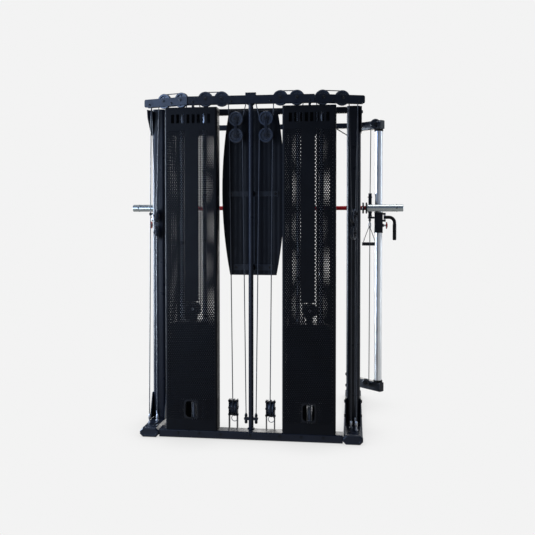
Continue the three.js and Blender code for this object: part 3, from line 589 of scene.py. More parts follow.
def both(name, solids, look, body=None, node=None, **options):
    """The piece on the right and its mirror image on the left; `body` and `node` leave out the side."""
    for side in ("right", "left"):
        made = piece(f"{side}_{name}", solids, look, mirrored=side == "left", **options)
        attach(made, f"{side}_{body}" if body else "root")
        if node:
            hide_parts(f"{side}_{node}")


def both_stretching(name, solids, bodies, start, end, node=None, look="wire_rope"):
    """A cable on both sides, baked in place where it is drawn; it rides on no body, and `bodies`, `start` and
    `end` are not used.
    """
    for side, sign in (("right", 1), ("left", -1)):
        made = piece(f"{side}_{name}", solids, look, mirrored=sign < 0)
        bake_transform(made)
        if node:
            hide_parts(f"{side}_{node}")


# ---- Feet and base ----
def feet():
    centre = (FOOT_X_MID, FOOT_HEIGHT / 2)
    width = FOOT_X[1] - FOOT_X[0]
    outer = octagon(width, FOOT_HEIGHT, FOOT_CHAMFER, centre)
    inner = octagon(width - 2 * WALL, FOOT_HEIGHT - 2 * WALL, FOOT_CHAMFER - WALL, centre)
    seat_y, seat_top = (FOOT_Y[0] + 8, FOOT_Y[0] + 78), FOOT_HEIGHT + PLATE - 1
    seat = box((FOOT_X_MID - 38, FOOT_X_MID + 38), seat_y, (FOOT_HEIGHT - 1, seat_top), 8)
    shell = plate("y", outer, (FOOT_Y[0], FOOT_Y[1] - PLATE), [inner])
    both("foot", shell + seat, "frame_paint", node="foot", bevel=1.5)
    both("foot_front_plug", plate("y", outer, (FOOT_Y[1] - PLATE, FOOT_Y[1])), "black_rubber", bevel=2)
    screws = []
    for y in (seat_y[0] + 18, seat_y[1] - 18):
        screws += hex_bolt("z", seat_top, 1, (FOOT_X_MID - 20, y), 7)
    both("foot_screws", screws, "black_steel")


def foot_caps():
    """Faceted end caps: stepped octagons that narrow towards the rear, with a raised centre panel."""
    width, height = CAP_X[1] - CAP_X[0], CAP_Z[1] - CAP_Z[0]
    centre = (FOOT_X_MID, middle(CAP_Z))
    shell, panel = FOOT_CHAMFER + 2, FOOT_CHAMFER - 6
    rear = CAP_Y[0]
    rings = (
        (FOOT_Y[0] - GAP, 0, 0, shell),
        (rear + 7, 0, 0, shell),
        (rear + 2, 6, 6, shell),
        (rear, 12, 12, shell),
        (rear, 30, 26, panel),
        (rear + 1.6, 33, 29, panel),
    )
    points = []
    for y, narrower, lower, chamfer in rings:
        points += [Vector((x, y, z)) for x, z in octagon(width - narrower, height - lower, chamfer, centre)]
    faces = [list(range(8)), list(range(len(points) - 8, len(points)))]
    for i in range(len(rings) - 1):
        for k in range(8):
            a, b = 8 * i + k, 8 * i + (k + 1) % 8
            faces.append([a, b, b + 8, a + 8])
    both("foot_cap", [(points, faces)], "cap_paint", node="foot_cap", bevel=0.8, smooth=20)


def base_beam():
    end = FOOT_X_MID - (CAP_X[1] - CAP_X[0]) / 2 - GAP
    y, z = BASE_BEAM["y"], middle(BASE_Z)
    height = BASE_Z[1] - BASE_Z[0]
    body = tube("x", BASE_BEAM["width"], height, BASE_BEAM["corner"], (1 - end, end - 1), (y, z))
    flange = rounded_rect(72, 44, 6, (y, z))
    screws = []
    for side in (-1, 1):
        body += plate("x", flange, sorted((side * end, side * (end - PLATE))))
        for screw_y in (y - 26, y + 26):
            screws += hex_bolt("x", side * (end - PLATE), -side, (screw_y, z), 6)
    clips = []
    for x in (-440, -310, -180, 0, 180, 310, 440):
        clip = box((x - 8, x + 8), (BASE_Y[0], BASE_Y[0] + 5), (z - 1, z + 13), 2)
        clips += turned(clip, 24, (x, z + 6), "Y")
    single("rear_base_beam", body, "frame_paint", node="rear_base_beam", bevel=1)
    single("base_beam_clips", clips, "black_rubber", bevel=0.8)
    single("base_beam_screws", screws, "black_steel")


# ---- Uprights and rails ----
def rear_uprights():
    x, y, width, depth, corner = UPRIGHT.values()
    bottom, top = UPRIGHT_Z
    inner, outer = x - width / 2, x + width / 2
    body = tube("z", width, depth, corner, (bottom, top), (x, y))
    half, edge, neck, gusset_top = GUSSET.values()
    profile = [(half, bottom), (half, bottom + edge), (neck, gusset_top)]
    gusset = [(y - half, bottom)] + [(y + reach, z) for reach, z in profile]
    gusset += [(y - neck, gusset_top), (y - half, bottom + edge)]
    wing = [(y + 36, 1862), (y - 36, 1862), (-420, 1960), (-432, 2010), (y + 36, top)]
    body += plate("x", gusset, (outer - 0.5, outer + PLATE))
    body += plate("x", gusset, (inner - PLATE, inner + 0.5))
    body += plate("x", wing, (outer - 0.5, outer + PLATE))
    both("rear_upright", body, "frame_paint", node="rear_upright", bevel=1)
    welds = []
    for face in (inner - 2, outer + 2):
        welds += sweep([(face, y + along, bottom + 1.5) for along in range(-80, 81, 8)], 2.6, 8)
    both("upright_welds", welds, "frame_paint")
    bolts = []
    for z in (100, 190):
        bolts += hex_bolt("x", outer + PLATE, 1, (y, z), 11) + hex_bolt("x", inner - PLATE, -1, (y, z), 11)
    for z in (290, 360):
        bolts += hex_bolt("x", inner, -1, (y, z), 8)
    for z in (1900, 1990):
        bolts += hex_bolt("x", outer + PLATE, 1, (y - 20, z), 10)
    both("upright_bolts", bolts, "black_steel")
    cap = plate("z", rounded_rect(width - 1, depth - 1, corner - 2, (x, y)), (top - 2, top + 2))
    both("upright_top_plug", cap, "black_rubber", bevel=1)


def front_frames():
    x, y, size, top = FRONT_UPRIGHT.values()
    rail_rear = UPRIGHT["y"] + UPRIGHT["depth"] / 2 + GAP
    body = tube("z", size, size, 8, (FOOT_HEIGHT + GAP, top), (x, y))
    body += tube("y", RAIL["width"], RAIL["height"], 8, (rail_rear, y - size / 2 + 2), (x, RAIL["z"]))
    dx, dy = x - COLUMN["x"], y - COLUMN["y"]
    length = math.hypot(dx, dy) - size / 2 + 2
    width, top_height, base_height = ARM.values()
    levels = (POST_Z[1] + top_height / 2 + GAP, POST_Z[0] - base_height / 2 - GAP)
    for height, z in zip((top_height, base_height), levels):
        arm = tube("x", width, height, 6, (-32, length), (0, z))
        arm += plate("x", rounded_rect(width - 1, height - 1, 6, (0, z)), (-33.5, -30))
        body += shifted(turned(arm, math.degrees(math.atan2(dy, dx))), COLUMN["x"], COLUMN["y"])
    tab_at = (BASE_ARM_WHEEL["x"], BASE_ARM_WHEEL["z"] - 15)
    body += plate("y", rounded_rect(16, 30, 4, tab_at), (CABLE_Y + 9, 345))
    both("front_frame", body, "frame_paint", node="front_frame", bevel=1)
    wheels, bolts = [], []
    for wheel, hub, bolt_end in ((TOP_ARM_WHEEL, 12, 296), (BASE_ARM_WHEEL, 10, CABLE_Y + 11)):
        at = (wheel["x"], wheel["z"])
        wheels += cable_wheel("y", CABLE_Y, wheel["radius"], 16, at, hub)
        bolts += axle_bolt("y", (CABLE_Y - 11, bolt_end), at, 7)
    both("arm_wheels", wheels, "pulley_plastic")
    both("arm_wheel_bolts", bolts, "black_steel")


def cross_beams():
    rear_end = UPRIGHT["x"] - UPRIGHT["width"] / 2 - GAP
    z, depth, height = CROSS_BEAM.values()
    rear = tube("x", depth, height, 6, (-rear_end, rear_end), (UPRIGHT["y"], z))
    single("top_cross_beam", rear, "frame_paint", node="top_cross_beam", bevel=0.8)
    end = FRONT_UPRIGHT["x"] - FRONT_UPRIGHT["size"] / 2 - GAP
    y, z = FRONT_UPRIGHT["y"], RAIL["z"]
    front = tube("x", RAIL["height"], RAIL["height"], 6, (-end, end), (y, z))
    half, drop, tilt = BRACE.values()
    at = (end - 52, z - drop)
    brace = shifted(box((-half, half), (-13, 13), (-3.5, 3.5), 5), at[0], y, at[1])
    brace = turned(brace, tilt, at, "Y")
    for side in (1, -1):
        front += moved(brace, Matrix.Diagonal((side, 1, 1, 1)))
    single("front_top_beam", front, "frame_paint", node="front_top_beam", bevel=0.8)
    both("brace_bolts", button_screw("x", end - 2, -1, (y, z - 67), 8), "black_steel")


# ---- Bent pulley beam ----
def straightened(x):
    """How far along the straightened beam a point lies that ends up at x once the wing is turned."""
    beyond = x - BEAM["straight"]
    return BEAM["straight"] + beyond / math.cos(math.radians(BEAM_TURN)) if beyond > 0 else x


def on_beam(solids, x):
    """Lays solids on the beam: those beyond the bend turn with the wing."""
    return turned(solids, BEAM_TURN if x > BEAM["straight"] else 0, (BEAM["straight"], BEAM["y"]))


def wing_outline():
    """Square at the bend and rounded at the free end."""
    low, high, corner = BEAM["bottom"], BEAM["top"], BEAM["corner"]
    outline = [(BEAM["straight"], high), (BEAM["straight"], low)]
    for centre_z, start in ((low + corner, -90), (high - corner, 0)):
        outline += arc((BEAM["end"] - corner, centre_z), corner, start, start + 90, 6)
    return outline


def pulley_beam():
    y, bottom, top = BEAM["y"], BEAM["bottom"], BEAM["top"]
    half = BEAM["gap"] / 2
    reach = half + PLATE
    straight, wings, bolts, spacers = [], [], [], []
    outline = rounded_rect(2 * BEAM["straight"], top - bottom, 1, (0, (top + bottom) / 2))
    for face in (-1, 1):
        ends = sorted((y + face * half, y + face * reach))
        straight += plate("y", outline, ends)
        wings += on_beam(plate("y", wing_outline(), ends), BEAM["end"])
    for x in TOP_WHEELS_X:
        bolts += on_beam(axle_bolt("y", (y - reach, y + reach), (straightened(x), TOP_WHEEL["z"])), x)
    for x in SPACERS_X:
        at = (straightened(x), bottom + 14)
        spacers += on_beam(rod("y", 9, (y - half, y + half), at), x)
        bolts += on_beam(button_screw("y", y - reach, -1, at, 7), x)
        bolts += on_beam(button_screw("y", y + reach, 1, at, 7), x)
    bracket = box((-33, 33), (y - half, y + half), (bottom, top + 17), 3)
    single("top_pulley_beam", straight + bracket, "frame_paint", node="top_pulley_beam", bevel=1)
    both("pulley_beam_wing", wings, "frame_paint", bevel=1)
    both("pulley_beam_bolts", bolts, "black_steel")
    both("pulley_beam_spacers", spacers, "black_steel")
    for i, x in enumerate(TOP_WHEELS_X):
        name = f"top_pulley_{i + 1}"
        at = (straightened(x), TOP_WHEEL["z"])
        wheel = cable_wheel("y", y, TOP_WHEEL["radius"], TOP_WHEEL["width"], at)
        both(name, on_beam(wheel, x), "pulley_plastic", body=name, node=name)


# ---- Perforated shrouds ----
def channel_stations(sheet, face, seam):
    """Places across a folded sheet from the left seam to the right one, and the zones between them.

    A place is a pair: its point on the outside of the sheet and its point on the inside.
    """
    inward = 1 if seam > face else -1
    fold = RIGHT_ANGLE - math.atan2(TOWER_HALF - sheet["half"], abs(seam - face))
    start = sheet["half"] - BEND * math.tan(fold / 2)
    right = [((start, face), (start, face + inward * SHEET))]
    for i in (1, 2, 3):
        s, c = math.sin(fold * i / 3), math.cos(fold * i / 3)
        right.append(tuple((start + r * s, face + inward * (BEND - r * c)) for r in (BEND, BEND - SHEET)))
    top, low = Vector(right[-1][0]), Vector((TOWER_HALF, seam))
    top_in, low_in = Vector(right[-1][1]), Vector((TOWER_HALF - SHEET, seam))
    count, length = sheet["side_cells"], (low - top).length
    margin = (length - count * HOLE_STEP) / 2
    for k in range(count + 1):
        t = (margin + k * HOLE_STEP) / length
        right.append((tuple(top.lerp(low, t)), tuple(top_in.lerp(low_in, t))))
    right.append((tuple(low), tuple(low_in)))
    side_zones = ["bend"] * 4 + ["side"] * count + ["bend"]
    cells = range(-sheet["cells"], sheet["cells"] + 1)
    flat = [((HOLE_STEP * k, face), (HOLE_STEP * k, face + inward * SHEET)) for k in cells]
    left = [((-a[0], a[1]), (-b[0], b[1])) for a, b in reversed(right)]
    zones = side_zones[::-1] + ["bend"] + ["face"] * (len(flat) - 1) + ["bend"] + side_zones
    return left + flat + right, zones


def perforated_channel(sheet, face, seam, kind):
    """Folded sheet drawn on a lattice: the face across the machine, and two sides that run to the seam.

    kind(x, z) says what the face is at a place x from the tower's middle: "mesh", "solid" or "open".
    A hole takes two cells side by side, and every other row is moved by one cell.
    """
    stations, zones = channel_stations(sheet, face, seam)
    pitch = math.sqrt(3) * HOLE_STEP
    levels = [SHROUD_Z[0]] + [sheet["bottom"] + pitch * j for j in range(sheet["rows"] + 1)]
    levels += [VENTS["low"], VENTS["high"], SHROUD_Z[1]]
    outer, inner, faces, index = [], [], [], {}

    def point(place, place_in, z):
        outer.append(Vector((TOWER_X + place[0], place[1], z)))
        inner.append(Vector((TOWER_X + place_in[0], place_in[1], z)))
        return len(outer) - 1

    def corner_at(i, j):
        if (i, j) not in index:
            index[i, j] = point(*stations[i], levels[j])
        return index[i, j]

    def kind_at(i, j):
        z = (levels[j] + levels[j + 1]) / 2
        if zones[i] == "face":
            return kind((stations[i][0][0] + stations[i + 1][0][0]) / 2, z)
        return "mesh" if zones[i] == "side" and sheet["bottom"] < z < MESH_TOP else "solid"

    def pierced(i, j):
        """Adds the sheet round one hole, over two cells."""
        ring = [corner_at(i, j), corner_at(i + 1, j), corner_at(i + 2, j)]
        ring += [corner_at(i + 2, j + 1), corner_at(i + 1, j + 1), corner_at(i, j + 1)]
        across = (Vector(stations[i + 2][0]) - Vector(stations[i][0])).normalized()
        z = (levels[j] + levels[j + 1]) / 2
        hole = []
        for along, rise in circle(HOLE, steps=6, turn=math.radians(-150)):
            hole.append(point(*(Vector(place) + across * along for place in stations[i + 1]), z + rise))
        for k in range(6):
            m = (k + 1) % 6
            faces.append([ring[k], ring[m], hole[m], hole[k]])

    for j in range(len(levels) - 1):
        i = 0
        while i < len(zones):
            here = kind_at(i, j)
            if here == "mesh" and (i + j) % 2 == 0 and kind_at(i + 1, j) == "mesh":
                pierced(i, j)
                i += 2
                continue
            if here != "open":
                cell = ((i, j), (i + 1, j), (i + 1, j + 1), (i, j + 1))
                faces.append([corner_at(*corner) for corner in cell])
            i += 1
    count = len(outer)
    sides = {(f[k], f[(k + 1) % 4]) for f in faces for k in range(4)}
    walls = [[b, a, a + count, b + count] for a, b in sorted(sides) if (b, a) not in sides]
    backs = [[i + count for i in reversed(f)] for f in faces]
    return [(outer + inner, faces + backs + walls)]


def rear_face(x, z):
    """Plain bands at the top and bottom, vents three cells wide in the top one, a window and a strip."""
    if z < REAR_SHEET["bottom"] or z > MESH_TOP:
        in_vent = abs(abs(x) / HOLE_STEP % 5 - 2.5) < 1.5 and abs(x) < VENTS["half"]
        return "open" if in_vent and VENTS["low"] < z < VENTS["high"] else "solid"
    if abs(x) < WINDOW["half"] and WINDOW["bottom"] < z < WINDOW["top"]:
        return "open"
    return "solid" if STRIP["inner"] < x < STRIP["outer"] and z > STRIP["bottom"] else "mesh"


def front_face(x, z):
    if abs(x) < SLOT["half"] and SLOT["bottom"] < z < SLOT["top"]:
        return "open"
    return "mesh" if abs(x) > SLOT["half"] + 9 and FRONT_SHEET["bottom"] < z < MESH_TOP else "solid"


def shrouds():
    rear, front = REAR_SHROUD_Y[0], FRONT_SHROUD_Y[1]
    cover = perforated_channel(REAR_SHEET, rear, REAR_SHROUD_Y[1], rear_face)
    both("rear_shroud", cover, "shroud_paint", node="rear_shroud")
    cover = perforated_channel(FRONT_SHEET, front, FRONT_SHROUD_Y[0], front_face)
    both("front_shroud", cover, "shroud_paint", node="front_shroud")
    at = (TOWER_X, (WINDOW["bottom"] + WINDOW["top"]) / 2 + 2)
    width, height = 2 * WINDOW["half"], WINDOW["top"] - WINDOW["bottom"] + 11
    inner = rounded_rect(width - 8, height - 16, 24, at)
    trim = plate("y", rounded_rect(width + 8, height, 14, at), (rear - 1, rear + 4), [inner])
    both("window_trim", trim, "black_rubber", bevel=0.8)
    screws = []
    for z in (1880, 1975):
        for face, out in ((SHROUD_X[0], -1), (SHROUD_X[1], 1)):
            screws += button_screw("x", face, out, (rear + 70, z), 4.5)
    both("shroud_screws", screws, "black_steel")


# ---- Weight stacks ----
def guide_rods():
    y, seat, top = BEAM["y"], BASE_Z[1] + GAP, RODS["top"]
    rods, bumpers = [], []
    for side in (-1, 1):
        at = (TOWER_X + side * RODS["half"], y)
        rods += rod("z", RODS["radius"], (seat + 5, top), at, 32)
        ribs = [(0, seat + 12)]
        for k in range(4):
            low = seat + 12 + k * 38
            ribs += [(20, low), (22, low + 4), (22, low + 30), (20, low + 34)]
        ribs.append((0, STACK_Z[0] - 0.5))
        bumpers += lathe("z", ribs, at, 32)
    springs = spring((TOWER_X, y), (seat + 14, STACK_Z[0] - 4), 15, 3, 18)
    springs += rod("z", 8, (seat + 12, STACK_Z[0] - 30), (TOWER_X, y))
    both("guide_rods", rods, "rod_steel", node="guide_rods")
    both("guide_rod_bumpers", bumpers, "black_rubber")
    both("base_springs", springs, "zinc")
    base = box((TOWER_X - 120, TOWER_X + 120), (y - 14, y + 14), (seat, seat + 12), 4)
    holes = [circle(9, (TOWER_X + side * HEAD["strand"], y)) for side in (-1, 1)]
    tie = plate("z", rounded_rect(179, 36, 8, (TOWER_X, y)), (top - 6, top + 1), holes)
    hanger = box((TOWER_X - 8, TOWER_X + 8), (y - 10, y + 10), (top, BEAM["bottom"] + 4), 2)
    both("guide_rod_plates", base + tie + hanger, "frame_paint", bevel=1)


def weight_plates():
    y, count, gap = middle(STACK_Y), STACK_PLATES["count"], STACK_PLATES["gap"]
    pitch = (STACK_Z[1] - STACK_Z[0]) / count
    width, depth = STACK_X[1] - STACK_X[0], STACK_Y[1] - STACK_Y[0]
    bores = [circle(13.8, (TOWER_X + side * RODS["half"], y)) for side in (-1, 1)]
    bores.append(circle(12, (TOWER_X, y)))
    outline = rounded_rect(width, depth, 9, (TOWER_X, y))
    plates = []
    for i in range(count):
        low = STACK_Z[0] + i * pitch
        plates += plate("z", outline, (low, low + pitch - gap), bores)
    both("weight_stack", plates, "cast_iron", node="weight_stack", bevel=1.6)


def stack_heads():
    y, depth = middle(STACK_Y), STACK_Y[1] - STACK_Y[0]
    half, bottom, top = (STACK_X[1] - STACK_X[0]) / 2, STACK_Z[1] + GAP, HEAD["top"]
    steps = [(-half, bottom), (half, bottom), (half, top - 24), (half - 12, top - 14), (half - 52, top)]
    steps += [(52 - half, top), (12 - half, top - 14), (-half, top - 24)]
    head = plate("y", [(TOWER_X + x, z) for x, z in steps], (y - depth / 2, y + depth / 2))
    both("stack_head", head, "cast_iron", body="stack", node="stack_head", bevel=2)
    wheel_z = HEAD["wheel_z"]
    yoke = []
    low, high = top - 5, wheel_z + 22
    outline = rounded_rect(40, high - low, 14, (TOWER_X, (high + low) / 2))
    for ends in ((y - 19, y - 14), (y + 14, y + 19)):
        yoke += plate("y", outline, ends)
    both("stack_yoke", yoke, "frame_paint", body="stack", bevel=1)
    hardware = axle_bolt("y", (y - 19, y + 19), (TOWER_X, wheel_z))
    hardware += rod("z", 11, (STACK_Z[1] - 396, bottom + 2), (TOWER_X, y))
    bush = [(13, top - 2), (20, top - 2), (20, top + 6), (17, top + 9), (13, top + 9)]
    for side in (-1, 1):
        hardware += lathe("z", bush, (TOWER_X + side * RODS["half"], y))
    both("stack_hardware", hardware, "zinc", body="stack")
    wheel = cable_wheel("y", y, HEAD["radius"], 20, (TOWER_X, wheel_z))
    both("stack_pulley", wheel, "pulley_plastic", body="stack")


def selector_pins():
    front, z = STACK_Y[1], STACK_Z[1] + 18 + GAP
    knob = [(0, 7), (9, 7), (10, 12), (14, 17), (14, 29), (11, 33), (0, 33)]
    turned_knob = lathe("y", [(radius, front + out) for radius, out in knob], (TOWER_X, z))
    both("stack_pin", turned_knob, "red_paint", body="pin", node="stack_pin")
    both("stack_pin_rod", rod("y", 4.8, (front - 40, front + 8), (TOWER_X, z)), "zinc", body="pin")


# ---- Board and centre post ----
def board():
    """Blank board, widest at its waist, on a bracket with two cross strips and one upright strip."""
    half, (z_low, z_high) = BOARD_X[1], BOARD_Z
    radius, waist = BOARD_CURVE.values()
    right = []
    for i in range(41):
        z = z_low + (z_high - z_low) * i / 40
        right.append((half - radius + math.sqrt(radius**2 - (z - waist) ** 2), z))
    outline = right + [(-x, z) for x, z in reversed(right)]
    single("exercise_board", plate("y", outline, BOARD_Y), "board_paint", node="exercise_board", bevel=1.5)
    back = BOARD_Y[0] - GAP
    post_front = BEAM["y"] + POST_RADIUS + GAP
    strips = []
    for half_width, low, high in ((156, 1470, 1500), (122, 1012, 1048), (12, 1012, 1500)):
        outline = rounded_rect(2 * half_width, high - low, 6, (0, (low + high) / 2))
        strips += plate("y", outline, (back - 6, back))
    screws = []
    arm = rounded_rect(16, back - post_front, 2, (0, (back + post_front) / 2))
    for z, reach in ((1485, 140), (1030, 106)):
        strips += plate("z", arm, (z - 12, z + 12))
        for x in (-reach, reach):
            screws += hex_bolt("y", back - 6, -1, (x, z), 7) + button_screw("y", BOARD_Y[1], 1, (x, z), 6)
    single("board_bracket", strips, "bracket_paint", node="board_bracket", bevel=0.8)
    single("board_screws", screws, "black_steel")


def centre_post():
    y = BEAM["y"]
    low, high = BASE_Z[1] + GAP, BEAM["bottom"] - GAP
    post = rod("z", POST_RADIUS, (low, high), (0, y), 40, 0.5)
    post += plate("y", rounded_rect(86, 18, 7, (0, 114)), (y - 8, y + 8))
    for z in (low, high - 6):
        post += lathe("z", [(0, z), (22, z), (22, z + 4), (18, z + 6), (0, z + 6)], (0, y))
    single("centre_post", post, "frame_paint", node="centre_post", bevel=0.8)
    bottle = [(0, 84), (7, 84), (9, 88), (9, 104), (6, 110), (6, 124), (9, 128), (9, 136), (4, 148), (0, 150)]
    both("anchor_terminals", lathe("z", bottle, (ANCHOR_X, y)), "black_steel")


# ---- Blocks of cable wheels ----
def floating_block(name, sizes, turn, at):
    """Two wheels between a pair of links, drawn over the origin in the XZ plane, then turned and moved."""
    def place(solids):
        return shifted(turned(solids, turn), *at)

    upper, lower = sizes["upper"], sizes["lower"]
    links, wheels, bolts = [], [], []
    for ends in ((-15, -11), (11, 15)):
        links += plate("y", dumbbell((0, lower), (0, upper), 15, 8), ends)
    for z in (upper, lower):
        wheels += cable_wheel("y", 0, sizes["radius"], 20, (0, z))
        bolts += axle_bolt("y", (-15, 15), (0, z), 6.5)
    both(name, place(wheels), "pulley_plastic", body=name, node=name)
    both(f"{name}_links", place(links), "frame_paint", body=name, bevel=0.8)
    both(f"{name}_bolts", place(bolts), "black_steel", body=name)


def blocks():
    floating_block("centre_block", CENTRE_BLOCK, 0, (CENTRE_BLOCK["x"], BEAM["y"]))
    floating_block("outer_block", OUTER_BLOCK, OUTER_BLOCK_TURN, (OUTER_BLOCK["x"], OUTER_BLOCK["y"]))


def low_blocks():
    """Two fixed wheels between cheeks on the base beam, with a stop and a split ring on the cable's end."""
    x, y, axle, radius, wheel_y, half, reach = LOW_BLOCK.values()
    cheeks, bolts, wheels = [], [], []
    outline = rounded_rect(42, 185, 10, (BASE_Y[1] + GAP + 21, 128.5))
    for side in (-1, 1):
        face = x + side * half
        cheeks += plate("x", outline, (face - 2, face + 2))
        for z in (axle - reach, axle, axle + reach):
            bolts += hex_bolt("x", face + side * 2, side, (y, z), 7)
        wheels += cable_wheel("x", x + side * 11, radius, 20, (wheel_y, axle))
    for z in (axle - reach, axle + reach):
        bolts += rod("x", 6, (x - half, x + half), (y, z))
    bolts += axle_bolt("x", (x - half, x + half), (wheel_y, axle), 6)
    both("low_block", cheeks, "frame_paint", node="low_block", bevel=0.8)
    both("low_block_wheel", wheels, "pulley_plastic")
    both("low_block_bolts", bolts, "black_steel")
    end_y = wheel_y + 22
    stop = [(0, 104), (6, 104), (11, 110), (12, 118), (9, 126), (3.5, 130), (0, 130)]
    both("low_cable_stop", lathe("z", stop, (x, end_y)), "black_rubber")
    both("low_split_ring", split_ring((x, end_y, 90), 19, 2.2), "zinc")


# ---- Pulley columns ----
def shade_round(mesh, x, y, radius):
    """Gives the outside of an upright tube round shading, also where holes cut its facets."""
    axis = Vector((x, y)) * MM
    normals = []
    for face in mesh.polygons:
        spokes = [mesh.vertices[i].co.xy - axis for i in face.vertices]
        on_skin = abs(face.normal.z) < 0.1 and all(abs(spoke.length / MM - radius) < 0.1 for spoke in spokes)
        for spoke in spokes:
            normals.append((*spoke.normalized(), 0) if on_skin else face.normal[:])
    mesh.normals_split_custom_set(normals)


def columns():
    """Chrome tubes with a row of holes for the pop pin; the holes are cut by a drill that is then removed."""
    x, y, radius = COLUMN.values()
    tube_solid = collar("z", radius - WALL, radius, POST_Z, (x, y), 64)
    drills = []
    for k in range(COLUMN_HOLES["count"]):
        z = COLUMN_HOLES["low"] + COLUMN_HOLES["step"] * k
        drills += rod("x", COLUMN_HOLES["radius"], (x + radius - 8, x + radius + 5), (y, z), 16, 0.1)
    for side in ("right", "left"):
        made = piece(f"{side}_column_post", tube_solid, "chrome", mirrored=side == "left")
        drill = piece(f"{side}_drill", drills, "chrome", mirrored=side == "left")
        cutter = made.modifiers.new("holes", "BOOLEAN")
        cutter.object, cutter.solver = drill, "EXACT"
        bpy.context.view_layer.update()
        pierced = bpy.data.meshes.new_from_object(made.evaluated_get(bpy.context.evaluated_depsgraph_get()))
        made.modifiers.clear()
        made.data = pierced
        shade_round(pierced, x if side == "right" else -x, y, radius)
        bpy.data.objects.remove(drill)
        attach(made, "root")
        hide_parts(f"{side}_column_post")
    collars = []
    for z in (POST_Z[0], POST_Z[1] - 14):
        profile = [(radius + GAP, z), (31, z), (31, z + 12), (29, z + 14), (radius + GAP, z + 14)]
        collars += lathe("z", profile, (x, y), 40)
    both("column_collars", collars, "black_rubber")


def carriages():
    x, y, half = COLUMN["x"], COLUMN["y"], CARRIAGE_HALF
    low, high = CARRIAGE_Z
    outline = rounded_rect(2 * half, 2 * half, 7, (x, y))
    body = plate("z", outline, (low + 6, high - 6), [circle(26.3, (x, y), 40)])
    lug_top = SWIVEL["bottom"] - GAP
    lug_ends = (CABLE_X - 15, x - half + 1)
    lug = rounded_rect(lug_ends[1] - lug_ends[0], 16, 6, (middle(lug_ends), CABLE_Y))
    body += plate("z", lug, (lug_top - 14, lug_top), [circle(7, (CABLE_X, CABLE_Y))])
    for ends in ((1308, 1322), (1356, 1370)):
        body += box((x + half - 1, x + half + 21), (y - 9, y + 9), ends, 5)
    boss = [(6, x + half - 1), (12, x + half - 1), (11, x + half + 8), (6, x + half + 8)]
    body += lathe("x", boss, (y, KNOB_Z))
    both("carriage", body, "frame_paint", body="carriage", node="carriage", bevel=1.2)
    bushes = []
    outline = rounded_rect(2 * half + 1, 2 * half + 1, 8, (x, y))
    for z in (low, high - 7):
        bushes += plate("z", outline, (z, z + 7), [circle(25.8, (x, y), 40)])
    both("carriage_bushes", bushes, "black_rubber", body="carriage", bevel=1)
    screws = []
    for z in (low + 24, high - 24):
        screws += button_screw("y", y - half, -1, (x, z), 5) + button_screw("y", y + half, 1, (x, z), 5)
    both("carriage_screws", screws, "black_steel", body="carriage")


def pop_pins():
    """Knob with eight shallow lobes on a stem that reaches to the column."""
    start = COLUMN["x"] + CARRIAGE_HALF + 22
    at = (COLUMN["y"], KNOB_Z)
    lobes = []
    for i in range(48):
        a = 2 * math.pi * i / 48
        r = 22.6 + 1.4 * math.cos(8 * a)
        lobes.append((at[0] + r * math.cos(a), at[1] + r * math.sin(a)))
    knob = plate("x", lobes, (start, start + 9))
    knob += lathe("x", [(0, start + 8), (18, start + 8), (14, start + 12), (0, start + 12)], at)
    both("pop_pin", knob, "red_paint", body="pop_pin", node="pop_pin", bevel=1.5)
    stem = rod("x", 5, (COLUMN["x"] + 27.5, start + 2), at) + rod("x", 8, (start - 11, start + 1), at, 6)
    both("pop_pin_stem", stem, "zinc", body="pop_pin")


def handle_parts():
    """Curved handle drawn from its pivot out along +X: a steel tube, its ribbed grip and its hinge pin."""
    _, _, reach, drop, bend, radius = HANDLE.values()
    path = [(-6, 0, 0), (10, 0, 0), (reach - bend, 0, 0)]
    path += [(x, 0, z) for x, z in arc((reach - bend, -bend), bend, 90, 0, 8)[1:]]
    steel = sweep(path + [(reach, 0, -52), (reach, 0, 8 - drop)], radius, 24)
    ribs = [(11, -46)]
    for k in range(9):
        low = -48 - k * 11.5
        ribs += [(12.2, low), (13, low - 2), (13, low - 9), (12.2, low - 11)]
    ribs += [(12.6, -drop + 4), (10, -drop), (9, -drop)]
    return steel, lathe("z", ribs, (reach, 0), 28), rod("z", 8, (-16, 16), (0, 0))


def handles():
    """The right handle points away from the machine, the left one towards the user."""
    parts = handle_parts()
    names = (("carriage_handle", "black_rubber"), ("handle_grip", "knurled_rubber"), ("handle_pin", "zinc"))
    for side in ("right", "left"):
        for (name, look), solids in zip(names, parts):
            if side == "left":
                solids = turned(solids, 90)
            placed = shifted(solids, HANDLE["x"], COLUMN["y"], HANDLE["z"])
            node = f"{side}_{name}" if name == "carriage_handle" else None
            single(f"{side}_{name}", placed, look, f"{side}_handle", node, mirrored=side == "left")


